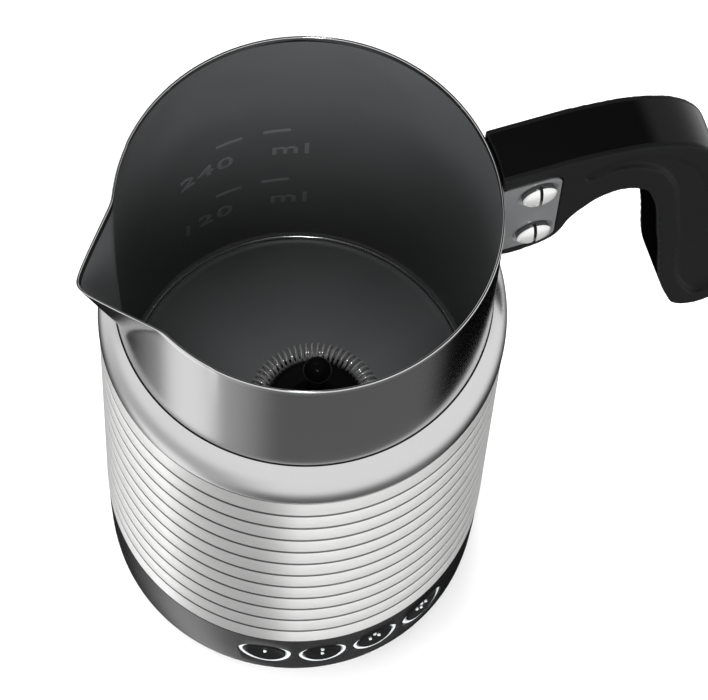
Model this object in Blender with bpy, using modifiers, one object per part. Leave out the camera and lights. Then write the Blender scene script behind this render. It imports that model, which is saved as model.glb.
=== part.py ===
"""Electric milk frother: an induction base with a lift-out steel jug and a magnetically driven whisk.

Metres, +Z up. The origin is on the base's axis at the surface that it stands on. The jug's handle
points along +X, its spout along -X, and the base's buttons face -Y.
"""

import math

import bmesh
import bpy
from mathutils import Matrix, Vector

# ---------------------------------------------------------------- driving dimensions
GAP = 0.0003  # between pieces that touch on the real object
SEGMENTS = 40  # round a large turned piece
SMALL_SEGMENTS = 16  # round a small one

RIM_Z = 0.165  # the jug's rim above the table
JUG_R = 0.041  # outside of the jug's wall
JUG_WALL = 0.0008
JUG_FLOOR_Z = 0.0674  # inside face of the jug's floor
JUG_CORNER_R = 0.0026  # the jug's lower corner is taller than it is wide
JUG_CORNER_H = 0.0062
SPOUT_REACH = 0.0106  # how far the spout's tip stands out of the wall
SPOUT_DROP = 0.031  # how far the spout runs down from the rim
SPOUT_HALF_ANGLE = math.radians(22.4)
SPOUT_TURN = math.radians(2.6)  # from straight across the handle towards the buttons

BODY_R = 0.0445  # outside of the ribbed sleeve
COLLAR_TOP_Z = 0.1246
COLLAR_BOTTOM_Z = 0.1113
COLLAR_DROP = 0.0115  # from the collar's crest to where its side is upright
COLLAR_SHELF_DEPTH = 0.0056  # the well's edge sits under a shelf this far down
SLEEVE_BOTTOM_Z = 0.0232
RIB_COUNT = 12
GROOVE_DEPTH = 0.0006
GROOVE_HALF = 0.0005
SLEEVE_INNER_R = 0.0433

HOUSING_INNER_R = 0.0415
HOUSING_BASE_R = 0.0433  # the black housing, near the table
COVER_R = 0.0405
PAD_R = 0.030
PAD_T = 0.0017

WELL_INNER_R = 0.0416
WELL_OUTER_R = 0.0428
WELL_FLOOR_TOP = JUG_FLOOR_Z - 0.0024
WELL_FLOOR_T = 0.0014

WHISK_X, WHISK_Y = 0.0020, -0.0060  # the whisk and the motor turn off the jug's centre
COIL_RING_R = 0.0138  # to the middle of the whisk's wire ring
COIL_RING_MINOR = 0.0018
COIL_RING_Z = JUG_FLOOR_Z + 0.0039
KNOB_R = 0.0032
KNOB_Z = COIL_RING_Z + 0.0210
WHISK_MAGNET_R = 0.0023

HANDLE_HALF_WIDTH = 0.00635
HANDLE_ROOT_X = JUG_R - 0.0005  # the root runs on to here before the wall is cut from it
BRACKET_T = 0.0010
BRACKET_END_X = 0.0545
BRACKET_CORNER = 0.0030
BRACKET_TOP_Z = 0.1622
BRACKET_BOTTOM_Z = 0.1309
SCREW_X = 0.0492
SCREW_ZS = {"upper": 0.1544, "lower": 0.1363}
SCREW_HEAD_R = 0.0040
SCREW_DOME = 0.0020  # height of the domed head
SCREW_SEAT_R = 0.0047

BUTTON_R = 0.0045
BUTTON_Z = 0.0125
BUTTON_XS = {
    "dense_foam": -0.0195,
    "light_foam": -0.0065,
    "hot_milk": 0.0065,
    "cold_foam": 0.0195,
}
LIGHT_RING_R = BUTTON_R + 0.0011  # the ring round each button
SWITCH_FACE_Y = -0.0290

GLAND_Z = 0.0115
GLAND_BORE_R = 0.0033
GLAND_NECK_R = 0.0045
COVER_SCREW_R = 0.0372  # pitch circle of the screws under the base
COVER_SCREW_ANGLES = (30, 150, 210, 330)
SCREW_HOLE_R = 0.0016
SENSOR_X, SENSOR_Y = -0.009, 0.012

# ---------------------------------------------------------------- scene and helpers
for old in list(bpy.data.objects):
    bpy.data.objects.remove(old)

parts = bpy.data.collections.new("milk_frother")
cutters = bpy.data.collections.new("cutters")
for group in (parts, cutters):
    bpy.context.scene.collection.children.link(group)


def material(name, colour, roughness, metallic):
    """A Principled material of one colour."""
    made = bpy.data.materials.new(name)
    made.use_nodes = True
    shader = made.node_tree.nodes["Principled BSDF"]
    shader.inputs["Base Color"].default_value = (*colour, 1)
    shader.inputs["Roughness"].default_value = roughness
    shader.inputs["Metallic"].default_value = metallic
    return made


STEEL = material("steel", (0.62, 0.62, 0.63), 0.22, 1)
CHROME = material("chrome", (0.80, 0.80, 0.80), 0.10, 1)
BRUSHED = material("brushed_aluminium", (0.78, 0.78, 0.77), 0.28, 1)
BLACK = material("black_plastic", (0.018, 0.019, 0.020), 0.42, 0)
LINER = material("liner_plastic", (0.05, 0.05, 0.055), 0.5, 0)
RUBBER = material("rubber", (0.02, 0.02, 0.02), 0.8, 0)
COPPER = material("copper", (0.75, 0.36, 0.20), 0.3, 1)
FERRITE = material("ferrite", (0.06, 0.06, 0.065), 0.7, 0)
MAGNET = material("magnet", (0.55, 0.55, 0.57), 0.3, 1)
BOARD = material("circuit_board", (0.02, 0.13, 0.06), 0.5, 0)
LENS = material("lens", (0.75, 0.78, 0.80), 0.3, 0)
BRASS = material("brass", (0.78, 0.58, 0.28), 0.3, 1)


def empty(name, x=0.0, y=0.0, z=0.0):
    """A helper that a group of parts hangs from."""
    made = bpy.data.objects.new(name, None)
    made.location = (x, y, z)
    parts.objects.link(made)
    return made


BASE = empty("base_axis")
JUG = empty("jug_axis")
WHISK = empty("whisk_axis", WHISK_X, WHISK_Y)
ROTOR = empty("motor_axis", WHISK_X, WHISK_Y)


def place(name, data, look, parent, location=(0, 0, 0)):
    """Links an object that is a part, or a cutter where look is None."""
    made = bpy.data.objects.new(name, data)
    made.location = location
    if look is None:
        cutters.objects.link(made)
        made.hide_render = True
        made.display_type = "WIRE"
        return made
    parts.objects.link(made)
    made.parent = parent
    data.materials.append(look)
    return made


def mesh_of(name, build):
    """A mesh filled by build(bmesh), with round faces shaded smooth."""
    shape = bmesh.new()
    build(shape)
    mesh = bpy.data.meshes.new(name)
    shape.to_mesh(mesh)
    shape.free()
    mesh.shade_smooth()
    mesh.set_sharp_from_angle(angle=math.radians(35))
    return mesh


def turned(name, profile, look, parent=BASE, location=(0, 0, 0), segments=SEGMENTS):
    """A profile of (radius, z) points turned round Z, closed on itself or on the axis."""
    solid = profile[0][0] == 0 and profile[-1][0] == 0
    loop = list(profile)
    if not solid:
        area = sum(
            a[0] * b[1] - b[0] * a[1] for a, b in zip(loop, loop[1:] + loop[:1])
        )
        if area > 0:  # a Screw profile runs down its outer side
            loop.reverse()

    def build(shape):
        corners = [shape.verts.new((r, 0, z)) for r, z in loop]
        for a, b in zip(corners, corners[1:] + ([] if solid else corners[:1])):
            shape.edges.new((a, b))

    made = place(name, mesh_of(name, build), look, parent, location)
    screw = made.modifiers.new("turn", "SCREW")
    screw.steps = screw.render_steps = segments
    screw.use_merge_vertices = True
    screw.merge_threshold = 0.00001
    screw.use_smooth_shade = True
    return made


def rod(name, radius, start, end, look=None, parent=BASE, segments=SMALL_SEGMENTS, end_radius=None):
    """A round bar, or a cone, from one point to another."""
    start, end = Vector(start), Vector(end)
    along = end - start
    turn = Vector((0, 0, 1)).rotation_difference(along).to_matrix().to_4x4()

    def build(shape):
        bmesh.ops.create_cone(
            shape,
            cap_ends=True,
            segments=segments,
            radius1=radius,
            radius2=radius if end_radius is None else end_radius,
            depth=along.length,
            matrix=turn,
        )

    return place(name, mesh_of(name, build), look, parent, (start + end) / 2)


def block(name, size, centre, look=None, parent=BASE, turn=0.0):
    """A box of that size about its centre, turned about Z."""

    def build(shape):
        bmesh.ops.create_cube(shape, size=1, matrix=Matrix.Diagonal((*size, 1)))

    made = place(name, mesh_of(name, build), look, parent, centre)
    made.rotation_euler.z = turn
    return made


def boolean(target, other, operation="DIFFERENCE"):
    """Cuts other from target, or joins it."""
    step = target.modifiers.new(other.name, "BOOLEAN")
    step.operation = operation
    step.object = other
    return target


def bevel(target, width, segments=1, angle=40):
    """Rounds the edges of target that turn by more than angle, in degrees."""
    step = target.modifiers.new("bevel", "BEVEL")
    step.width = width
    step.segments = segments
    step.limit_method = "ANGLE"
    step.angle_limit = math.radians(angle)
    return target


def arc(centre, radius, start, end, steps, height=None):
    """Points on an arc of a profile, in degrees from the +radius direction; height makes it an ellipse."""
    tall = radius if height is None else height
    turns = [math.radians(start + (end - start) * i / steps) for i in range(steps + 1)]
    return [(centre[0] + radius * math.cos(a), centre[1] + tall * math.sin(a)) for a in turns]


def polar(radius, degrees, z):
    """A point from its radius and angle round the base's axis."""
    turn = math.radians(degrees)
    return (radius * math.cos(turn), radius * math.sin(turn), z)


# ---------------------------------------------------------------- base: outer shells
def base_pad():
    """Non-slip rubber disc that the base stands on, with a moulded ring groove."""
    groove_r, groove, depth = 0.024, 0.0012, 0.0006
    profile = [
        (0, PAD_T),
        (PAD_R, PAD_T),
        (PAD_R, 0.0004),
        (PAD_R - 0.0004, 0),
        (groove_r + groove, 0),
        (groove_r + groove, depth),
        (groove_r, depth),
        (groove_r, 0),
        (0, 0),
    ]
    turned("base_pad", profile, RUBBER, segments=32)


def bottom_cover():
    """Disc that closes the base, with a seat for the pad and counterbored screw holes."""
    under, top = 0.0012, 0.0042
    pad_seat = PAD_T + GAP
    profile = [
        (0, top),
        (COVER_R, top),
        (COVER_R, under),
        (PAD_R + GAP, under),
        (PAD_R + GAP, pad_seat),
        (0, pad_seat),
    ]
    cover = turned("bottom_cover", profile, BLACK)
    for i, angle in enumerate(COVER_SCREW_ANGLES):
        for label, radius, depth in (("hole", SCREW_HOLE_R, 0.006), ("seat", 0.0031, 0.0025)):
            foot, end = polar(COVER_SCREW_R, angle, 0), polar(COVER_SCREW_R, angle, depth)
            boolean(cover, rod(f"cover_{label}_{i}", radius, foot, end))


def pan_screw(name, foot, length, head_r, shank_r, head_t, parent=BASE, down=False):
    """A screw with its head at foot and its shank running up, or down."""
    sign = -1 if down else 1
    profile = [
        (0, 0),
        (head_r * 0.8, 0),
        (head_r, sign * head_t * 0.4),
        (head_r, sign * head_t),
        (shank_r, sign * head_t),
        (shank_r, sign * length),
        (0, sign * length),
    ]
    if not down:
        profile.reverse()
    return turned(name, profile, STEEL, parent, foot, segments=12)


def cover_screws():
    """Four screws that hold the cover to the housing's bosses."""
    length, head_r, shank_r, head_t = 0.0115, 0.0027, 0.0012, 0.0014
    for i, angle in enumerate(COVER_SCREW_ANGLES, 1):
        pan_screw(f"cover_screw_{i}", polar(COVER_SCREW_R, angle, 0.0008), length, head_r, shank_r, head_t)


def lower_housing():
    """Black ring under the sleeve, holding the buttons, the cable gland and the cover's bosses."""
    top, edge, lip = SLEEVE_BOTTOM_Z - GAP, 0.0006, 0.006
    inner_lip_r = SLEEVE_INNER_R - GAP
    profile = [
        (HOUSING_INNER_R, top + lip),
        (inner_lip_r, top + lip),
        (inner_lip_r, top),
        (BODY_R - 0.0002, top),
        (BODY_R - 0.0003, 0.014),
        (HOUSING_BASE_R + 0.0006, 0.005),
        *arc((HOUSING_BASE_R - 0.0018, edge + 0.0022), 0.0022, 0, -90, 3),
        (COVER_R + 0.0006, edge),
        (COVER_R + 0.0006, 0.0046),
        (HOUSING_INNER_R, 0.0056),
    ]
    housing = turned("lower_housing", profile, BLACK)
    boss_low, boss_high = 0.0046, 0.016
    for i, angle in enumerate(COVER_SCREW_ANGLES):
        boss = rod(
            f"cover_boss_{i}",
            0.0036,
            polar(COVER_SCREW_R + 0.0012, angle, boss_low),
            polar(COVER_SCREW_R + 0.0012, angle, boss_high),
            segments=12,
        )
        bore = rod(
            f"boss_bore_{i}",
            SCREW_HOLE_R,
            polar(COVER_SCREW_R, angle, boss_low - 0.001),
            polar(COVER_SCREW_R, angle, boss_high - 0.002),
            segments=12,
        )
        boolean(housing, boss, "UNION")
        boolean(housing, bore)
    for label, x in BUTTON_XS.items():
        outside, inside = (x, -0.050, BUTTON_Z), (x, -0.030, BUTTON_Z)
        boolean(housing, rod(f"button_hole_{label}", LIGHT_RING_R + GAP, outside, inside, segments=20))
    inlet = rod("gland_hole", GLAND_NECK_R + 0.0004, (0, 0.034, GLAND_Z), (0, 0.050, GLAND_Z))
    boolean(housing, inlet)


def ribbed_sleeve():
    """Brushed sleeve of twelve flat bands with a narrow groove between each two."""
    top = COLLAR_BOTTOM_Z - GAP
    pitch = (top - SLEEVE_BOTTOM_Z) / RIB_COUNT
    profile = [(SLEEVE_INNER_R, top), (BODY_R - 0.0003, top)]
    for i in range(1, RIB_COUNT):
        z = top - pitch * i
        profile += [
            (BODY_R, z + GROOVE_HALF),
            (BODY_R - GROOVE_DEPTH, z),
            (BODY_R, z - GROOVE_HALF),
        ]
    profile += [(BODY_R - 0.0003, SLEEVE_BOTTOM_Z), (SLEEVE_INNER_R, SLEEVE_BOTTOM_Z)]
    turned("ribbed_sleeve", profile, BRUSHED)


def collar():
    """Polished ring over the sleeve's top: a thin lip and a shoulder that falls ever more steeply."""
    inner = JUG_R + 0.0004
    lip = inner + 0.0007
    spread = BODY_R + 0.0002 - lip
    shelf = COLLAR_TOP_Z - COLLAR_SHELF_DEPTH
    falls = [step / 8 for step in range(9)]
    profile = [
        (inner, COLLAR_TOP_Z - 0.0006),
        (inner + 0.0002, COLLAR_TOP_Z),
        *[(lip + spread * (1 - (1 - t) ** 2), COLLAR_TOP_Z - 0.0001 - COLLAR_DROP * t) for t in falls],
        (BODY_R + 0.0001, COLLAR_BOTTOM_Z + 0.0008),
        (BODY_R - 0.0003, COLLAR_BOTTOM_Z),
        (WELL_OUTER_R + GAP, COLLAR_BOTTOM_Z),
        (WELL_OUTER_R + GAP, shelf),
        (inner, shelf),
    ]
    turned("collar", profile, CHROME)


def jug_well():
    """Liner cup that the jug stands in, with a recess under it for the motor's magnets."""
    top = COLLAR_TOP_Z - COLLAR_SHELF_DEPTH - 0.0004
    under = WELL_FLOOR_TOP - WELL_FLOOR_T
    skirt = 0.0020
    profile = [
        (0, WELL_FLOOR_TOP),
        (WELL_INNER_R - 0.0015, WELL_FLOOR_TOP),
        (WELL_INNER_R, WELL_FLOOR_TOP + 0.0015),
        (WELL_INNER_R, top),
        (WELL_OUTER_R, top),
        (WELL_OUTER_R, under - skirt),
        (WELL_OUTER_R - 0.0012, under - skirt),
        (WELL_OUTER_R - 0.0012, under),
        (0, under),
    ]
    well = turned("jug_well", profile, LINER)
    sensor = rod(
        "sensor_hole",
        0.0033,
        (SENSOR_X, SENSOR_Y, WELL_FLOOR_TOP - 0.005),
        (SENSOR_X, SENSOR_Y, WELL_FLOOR_TOP + 0.005),
    )
    boolean(well, sensor)


# ---------------------------------------------------------------- base: heater, drive and electronics
COIL_TOP = WELL_FLOOR_TOP - WELL_FLOOR_T - GAP
COIL_T = 0.0032
CARRIER_T = 0.0016
CARRIER_TOP = COIL_TOP - COIL_T - GAP
CARRIER_UNDER = CARRIER_TOP - CARRIER_T
ROTOR_HOLE_R = 0.0196
MOUNT_TOP = WELL_FLOOR_TOP - 0.0116
MOUNT_T = 0.0018
MOUNT_SCREW_XS = {"left": -0.0205, "right": 0.0217}
MOUNT_HOLE_R = 0.0014
CAN_R = 0.0125
CAN_TOP = MOUNT_TOP - MOUNT_T - GAP
CAN_BOTTOM = CAN_TOP - 0.0239
SHAFT_R = 0.0010
DRIVE_MAGNET_R = 0.0035
DRIVE_MAGNET_X = 0.0070


def heater():
    """Flat copper winding on its carrier, with four ferrite bars under it."""
    coil = [
        (ROTOR_HOLE_R + 0.0009, COIL_TOP - COIL_T),
        (0.0370, COIL_TOP - COIL_T),
        (0.0370, COIL_TOP),
        (ROTOR_HOLE_R + 0.0009, COIL_TOP),
    ]
    turned("induction_coil", coil, COPPER, segments=32)
    carrier = [
        (ROTOR_HOLE_R, CARRIER_UNDER),
        (0.0400, CARRIER_UNDER),
        (0.0400, CARRIER_TOP),
        (ROTOR_HOLE_R, CARRIER_TOP),
    ]
    plate = turned("coil_carrier", carrier, LINER, segments=32)
    for label, x in MOUNT_SCREW_XS.items():
        low, high = MOUNT_TOP + GAP, CARRIER_TOP - 0.0004
        post = rod(f"mount_post_{label}", 0.0030, (x, WHISK_Y, low), (x, WHISK_Y, high), segments=12)
        low, high = low - 0.001, high - 0.0006
        bore = rod(f"post_bore_{label}", MOUNT_HOLE_R, (x, WHISK_Y, low), (x, WHISK_Y, high), segments=12)
        boolean(plate, post, "UNION")
        boolean(plate, bore)
        head_t = 0.0014
        foot = (x, WHISK_Y, MOUNT_TOP - MOUNT_T - GAP - head_t)
        pan_screw(f"mount_screw_{label}", foot, 0.0080, 0.0024, 0.0011, head_t)
    size = (0.0130, 0.0070, 0.0030)
    for i in range(4):
        angle = 45 + 90 * i
        middle = polar(0.0295, angle, CARRIER_UNDER - GAP - size[2] / 2)
        bar = block(f"ferrite_bar_{i + 1}", size, middle, FERRITE, turn=math.radians(angle))
        bevel(bar, 0.0004)


def temperature_sensor():
    """Sensor that stands in a hole in the well's floor, with a flange under it."""
    top = WELL_FLOOR_TOP + 0.0002
    flange = WELL_FLOOR_TOP - WELL_FLOOR_T - GAP
    profile = [
        (0, top),
        (0.0026, top),
        (0.0030, top - 0.0004),
        (0.0030, flange),
        (0.0042, flange),
        (0.0042, flange - 0.0010),
        (0.0020, flange - 0.0010),
        (0.0020, flange - 0.0060),
        (0, flange - 0.0060),
    ]
    turned("temperature_sensor", profile, STEEL, location=(SENSOR_X, SENSOR_Y, 0), segments=16)


def motor():
    """Small motor under a mount plate, with a bearing bush where its shaft comes out."""
    plate_profile = [
        (0.0028, MOUNT_TOP - MOUNT_T),
        (0.0150, MOUNT_TOP - MOUNT_T),
        (0.0150, MOUNT_TOP),
        (0.0028, MOUNT_TOP),
    ]
    plate = turned("motor_mount", plate_profile, STEEL, ROTOR, segments=24)
    ears = block("mount_ears", (0.0510, 0.0080, MOUNT_T * 0.98), (0.0006, WHISK_Y, MOUNT_TOP - MOUNT_T / 2))
    boolean(plate, ears, "UNION")
    holes = {side: (x, MOUNT_HOLE_R) for side, x in MOUNT_SCREW_XS.items()}
    holes["bush"] = (WHISK_X, 0.0034)
    for label, (x, radius) in holes.items():
        low, high = MOUNT_TOP - 0.006, MOUNT_TOP + 0.004
        boolean(plate, rod(f"mount_hole_{label}", radius, (x, WHISK_Y, low), (x, WHISK_Y, high)))
    can = [
        (0, CAN_BOTTOM),
        (CAN_R - 0.0008, CAN_BOTTOM),
        (CAN_R, CAN_BOTTOM + 0.0008),
        (CAN_R, CAN_TOP - 0.0008),
        (CAN_R - 0.0008, CAN_TOP),
        (SHAFT_R + 0.0005, CAN_TOP),
        (SHAFT_R + 0.0005, CAN_BOTTOM + 0.0040),
        (0, CAN_BOTTOM + 0.0040),
    ]
    can.reverse()
    turned("motor_can", can, STEEL, ROTOR, segments=24)
    bush = [
        (SHAFT_R + 0.0003, CAN_TOP + GAP),
        (0.0031, CAN_TOP + GAP),
        (0.0031, MOUNT_TOP + 0.0002),
        (SHAFT_R + 0.0003, MOUNT_TOP + 0.0002),
    ]
    turned("bearing_bush", bush, BRASS, ROTOR, segments=16)


def rotor():
    """Shaft, magnet holder and two drive magnets, which turn together under the jug."""
    shaft_top, shaft_low = MOUNT_TOP + 0.0052, CAN_BOTTOM + 0.0045
    rod("motor_shaft", SHAFT_R, (0, 0, shaft_low), (0, 0, shaft_top), STEEL, ROTOR, segments=12)
    low, floor, top = MOUNT_TOP + 0.0010, MOUNT_TOP + 0.0056, COIL_TOP - 0.0006
    profile = [
        (0, floor + 0.0004),
        (0.0022, floor + 0.0004),
        (0.0022, top),
        (0.0118, top),
        (0.0118, MOUNT_TOP + 0.0040),
        (0.0040, MOUNT_TOP + 0.0030),
        (0.0030, low),
        (SHAFT_R + 0.0003, low),
        (SHAFT_R + 0.0003, floor),
        (0, floor),
    ]
    holder = turned("magnet_holder", profile, LINER, ROTOR, segments=24)
    for side, label in ((-1, "1"), (1, "2")):
        x = side * DRIVE_MAGNET_X
        foot, end = (WHISK_X + x, WHISK_Y, floor), (WHISK_X + x, WHISK_Y, top + 0.004)
        boolean(holder, rod(f"magnet_pocket_{label}", DRIVE_MAGNET_R + GAP, foot, end))
        rod(f"drive_magnet_{label}", DRIVE_MAGNET_R, (x, 0, floor + GAP), (x, 0, top), MAGNET, ROTOR)


BOARD_Z = 0.0070
BOARD_T = 0.0016
BOARD_FRONT_Y = -0.0215
BOARD_TOP = BOARD_Z + BOARD_T + GAP


def electronics():
    """Power board with its largest parts, and the upright board that carries the switches."""
    profile = [(0, BOARD_Z + BOARD_T), (0.0330, BOARD_Z + BOARD_T), (0.0330, BOARD_Z), (0, BOARD_Z)]
    board = turned("power_board", profile, BOARD, segments=32)
    front = block("board_front_cut", (0.10, 0.04, 0.02), (0, BOARD_FRONT_Y - 0.02, BOARD_Z))
    boolean(board, front)
    foot, end = (-0.020, 0.008, BOARD_TOP), (-0.020, 0.008, BOARD_TOP + 0.0190)
    rod("filter_capacitor", 0.0060, foot, end, BLACK, segments=20)
    choke = [
        (0.0045, BOARD_TOP),
        (0.0095, BOARD_TOP),
        (0.0100, BOARD_TOP + 0.0010),
        (0.0100, BOARD_TOP + 0.0070),
        (0.0095, BOARD_TOP + 0.0080),
        (0.0045, BOARD_TOP + 0.0080),
        (0.0040, BOARD_TOP + 0.0070),
        (0.0040, BOARD_TOP + 0.0010),
    ]
    turned("power_choke", choke, COPPER, location=(-0.002, 0.021, 0), segments=20)
    sink = block("heat_sink", (0.0100, 0.0260, 0.0180), (0.0225, 0.004, BOARD_TOP + 0.0090), STEEL)
    for i in range(4):
        slot = block(
            f"fin_slot_{i}",
            (0.0080, 0.0030, 0.0200),
            (0.0255, 0.004 + (i - 1.5) * 0.0060, BOARD_TOP + 0.0130),
        )
        boolean(sink, slot)
    terminal = block("terminal_block", (0.0120, 0.0070, 0.0080), (0.0150, 0.0240, BOARD_TOP + 0.0040), LINER)
    bevel(terminal, 0.0006)
    switch_t = 0.0016
    back = SWITCH_FACE_Y + switch_t
    block("switch_board", (0.0500, switch_t, 0.0150), (0, (SWITCH_FACE_Y + back) / 2, 0.0125), BOARD)


def face_shape(name, radius):
    """A drum whose side trims what sits in the housing's face."""
    return turned(name, [(0, 0.03), (radius, 0.03), (radius, -0.01), (0, -0.01)], None, segments=60)


def buttons():
    """Four push buttons that travel along +Y, each in a light ring, with a switch behind it."""
    foot_y = SWITCH_FACE_Y - 0.0042
    face = face_shape("button_face_shape", BODY_R - 0.0004)
    skin = face_shape("ring_face_shape", BODY_R - 0.0008)
    for label, x in BUTTON_XS.items():
        axis = empty(f"button_axis_{label}", x, foot_y, BUTTON_Z)
        cap = rod(f"button_{label}", BUTTON_R, (0, -0.020, 0), (0, 0, 0), BLACK, axis, segments=20)
        boolean(cap, face, "INTERSECT")
        back_y = -0.0375 if abs(x) < 0.010 else -0.0343
        front, back = (x, back_y - 0.0085, BUTTON_Z), (x, back_y, BUTTON_Z)
        ring = rod(f"light_ring_{label}", LIGHT_RING_R, front, back, LENS, segments=20)
        front, back = (x, -0.060, BUTTON_Z), (x, -0.020, BUTTON_Z)
        boolean(ring, rod(f"ring_bore_{label}", BUTTON_R + GAP, front, back, segments=20))
        boolean(ring, skin, "INTERSECT")
        depth = 0.0027
        middle = (x, SWITCH_FACE_Y - GAP - depth / 2, BUTTON_Z)
        tact = block(f"tact_switch_{label}", (0.0060, depth, 0.0060), middle, STEEL)
        bevel(tact, 0.0004)


def cable_gland():
    """Grommet at the back, where a mains lead would come out."""
    profile = [
        (GLAND_BORE_R, 0.0385),
        (0.0060, 0.0385),
        (0.0060, 0.0400),
        (GLAND_NECK_R, 0.0408),
        (GLAND_NECK_R, 0.0446),
        (0.0058, 0.0449),
        (0.0055, 0.0463),
        (GLAND_BORE_R, 0.0466),
    ]
    gland = turned("cable_gland", profile, RUBBER, location=(0, 0, GLAND_Z), segments=20)
    gland.rotation_euler.x = math.radians(-90)


# ---------------------------------------------------------------- jug
def spout_radius(angle, rise):
    """Outside of the wall at an angle from the spout's middle; rise is 1 at the rim and 0 below the spout."""
    if rise <= 0:
        return JUG_R
    tip = JUG_R + SPOUT_REACH
    side = Vector((JUG_R * math.cos(SPOUT_HALF_ANGLE) - tip, JUG_R * math.sin(SPOUT_HALF_ANGLE)))
    lean = math.atan2(-side.x, side.y)  # of the flat side's normal
    near = math.sqrt(angle * angle + 0.036**2) - 0.016  # rounds the tip
    if near > lean:
        return JUG_R
    flat = (JUG_R + SPOUT_REACH * rise) * math.cos(lean) / math.cos(near - lean)
    soft = 0.0009 * rise  # eases the crease where the flat side leaves the round wall
    blend = 0.5 * (flat + JUG_R + math.sqrt((flat - JUG_R) ** 2 + soft**2))
    return blend - soft * 0.5 * math.exp(-abs(flat - JUG_R) / 0.004)


def jug_shell():
    """Steel jug drawn from one sheet: a straight wall, a folded spout and a rounded floor."""
    fine = 12  # steps across each half of the spout
    spread = math.radians(32)
    rest = 38
    angles = [spread * i / fine for i in range(-fine, fine)]
    angles += [spread + (2 * math.pi - 2 * spread) * i / rest for i in range(rest)]
    under = JUG_FLOOR_Z - JUG_WALL
    wide, tall = JUG_CORNER_R + JUG_WALL, JUG_CORNER_H + JUG_WALL
    drops = (0, 0.25, 0.5, 0.75, 1)
    rows = [(RIM_Z - SPOUT_DROP * d, None, 1 - d) for d in drops]
    rows += [(0.105, None, 0)]
    rows += [(z, r, 0) for r, z in arc((JUG_R - wide, under + tall), wide, 0, -90, 4, height=tall)]

    def build(shape):
        rings = []
        for z, radius, rise in rows:
            ring = []
            for angle in angles:
                wrapped = (angle + math.pi) % (2 * math.pi) - math.pi
                r = spout_radius(abs(wrapped), rise) if radius is None else radius
                turned_by = angle + SPOUT_TURN
                ring.append(shape.verts.new((-r * math.cos(turned_by), -r * math.sin(turned_by), z)))
            rings.append(ring)
        count = len(angles)
        for upper, lower in zip(rings, rings[1:]):
            for i in range(count):
                j = (i + 1) % count
                shape.faces.new((upper[i], lower[i], lower[j], upper[j]))
        shape.faces.new(list(reversed(rings[-1])))

    shell = place("jug_shell", mesh_of("jug_shell", build), STEEL, JUG)
    wall = shell.modifiers.new("wall", "SOLIDIFY")
    wall.thickness = JUG_WALL
    wall.offset = -1
    wall.use_even_offset = True


def jug_fittings():
    """Magnetic steel disc under the floor, and the pin that the whisk turns on."""
    disc_top = JUG_FLOOR_Z - JUG_WALL - GAP
    disc_low = disc_top - 0.0009
    disc = [
        (0, disc_top),
        (0.0340, disc_top),
        (0.0345, disc_top - 0.0005),
        (0.0345, disc_low),
        (0, disc_low),
    ]
    turned("jug_base_disc", disc, STEEL, JUG, segments=32)
    foot = JUG_FLOOR_Z + GAP
    pin = [
        (0, foot + 0.0056),
        (0.0009, foot + 0.0054),
        (0.0015, foot + 0.0046),
        (0.0015, foot + 0.0006),
        (0.0030, foot),
        (0, foot),
    ]
    turned("whisk_pivot", pin, STEEL, JUG, (WHISK_X, WHISK_Y, 0), segments=16)


HANDLE_OUTLINE = (  # x, z and whether the outline turns a corner there
    (HANDLE_ROOT_X, 0.1288, True),
    (0.0480, 0.1288, False),
    (0.0535, 0.1313, False),
    (0.0579, 0.1398, False),
    (0.0664, 0.1451, False),
    (0.0733, 0.1425, False),
    (0.0770, 0.1345, False),
    (0.0803, 0.1137, False),
    (0.0861, 0.0785, False),
    (0.0900, 0.0715, False),
    (0.0985, 0.0708, False),
    (0.1035, 0.0765, False),
    (0.0995, 0.1070, False),
    (0.0940, 0.1345, False),
    (0.0875, 0.1522, False),
    (0.0774, 0.1604, False),
    (0.0628, 0.1643, False),
    (0.0500, 0.1648, False),
    (HANDLE_ROOT_X, 0.1648, True),
)


GRIP_SCOOP = (
    (0.0600, 0.1548, False),
    (0.0672, 0.1552, False),
    (0.0748, 0.1511, False),
    (0.0800, 0.1430, False),
    (0.0845, 0.1190, False),
    (0.0905, 0.0800, False),
    (0.0950, 0.0752, False),
    (0.0990, 0.0800, False),
    (0.0955, 0.1070, False),
    (0.0898, 0.1345, False),
    (0.0838, 0.1480, False),
    (0.0740, 0.1570, False),
    (0.0650, 0.1590, False),
)


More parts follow.
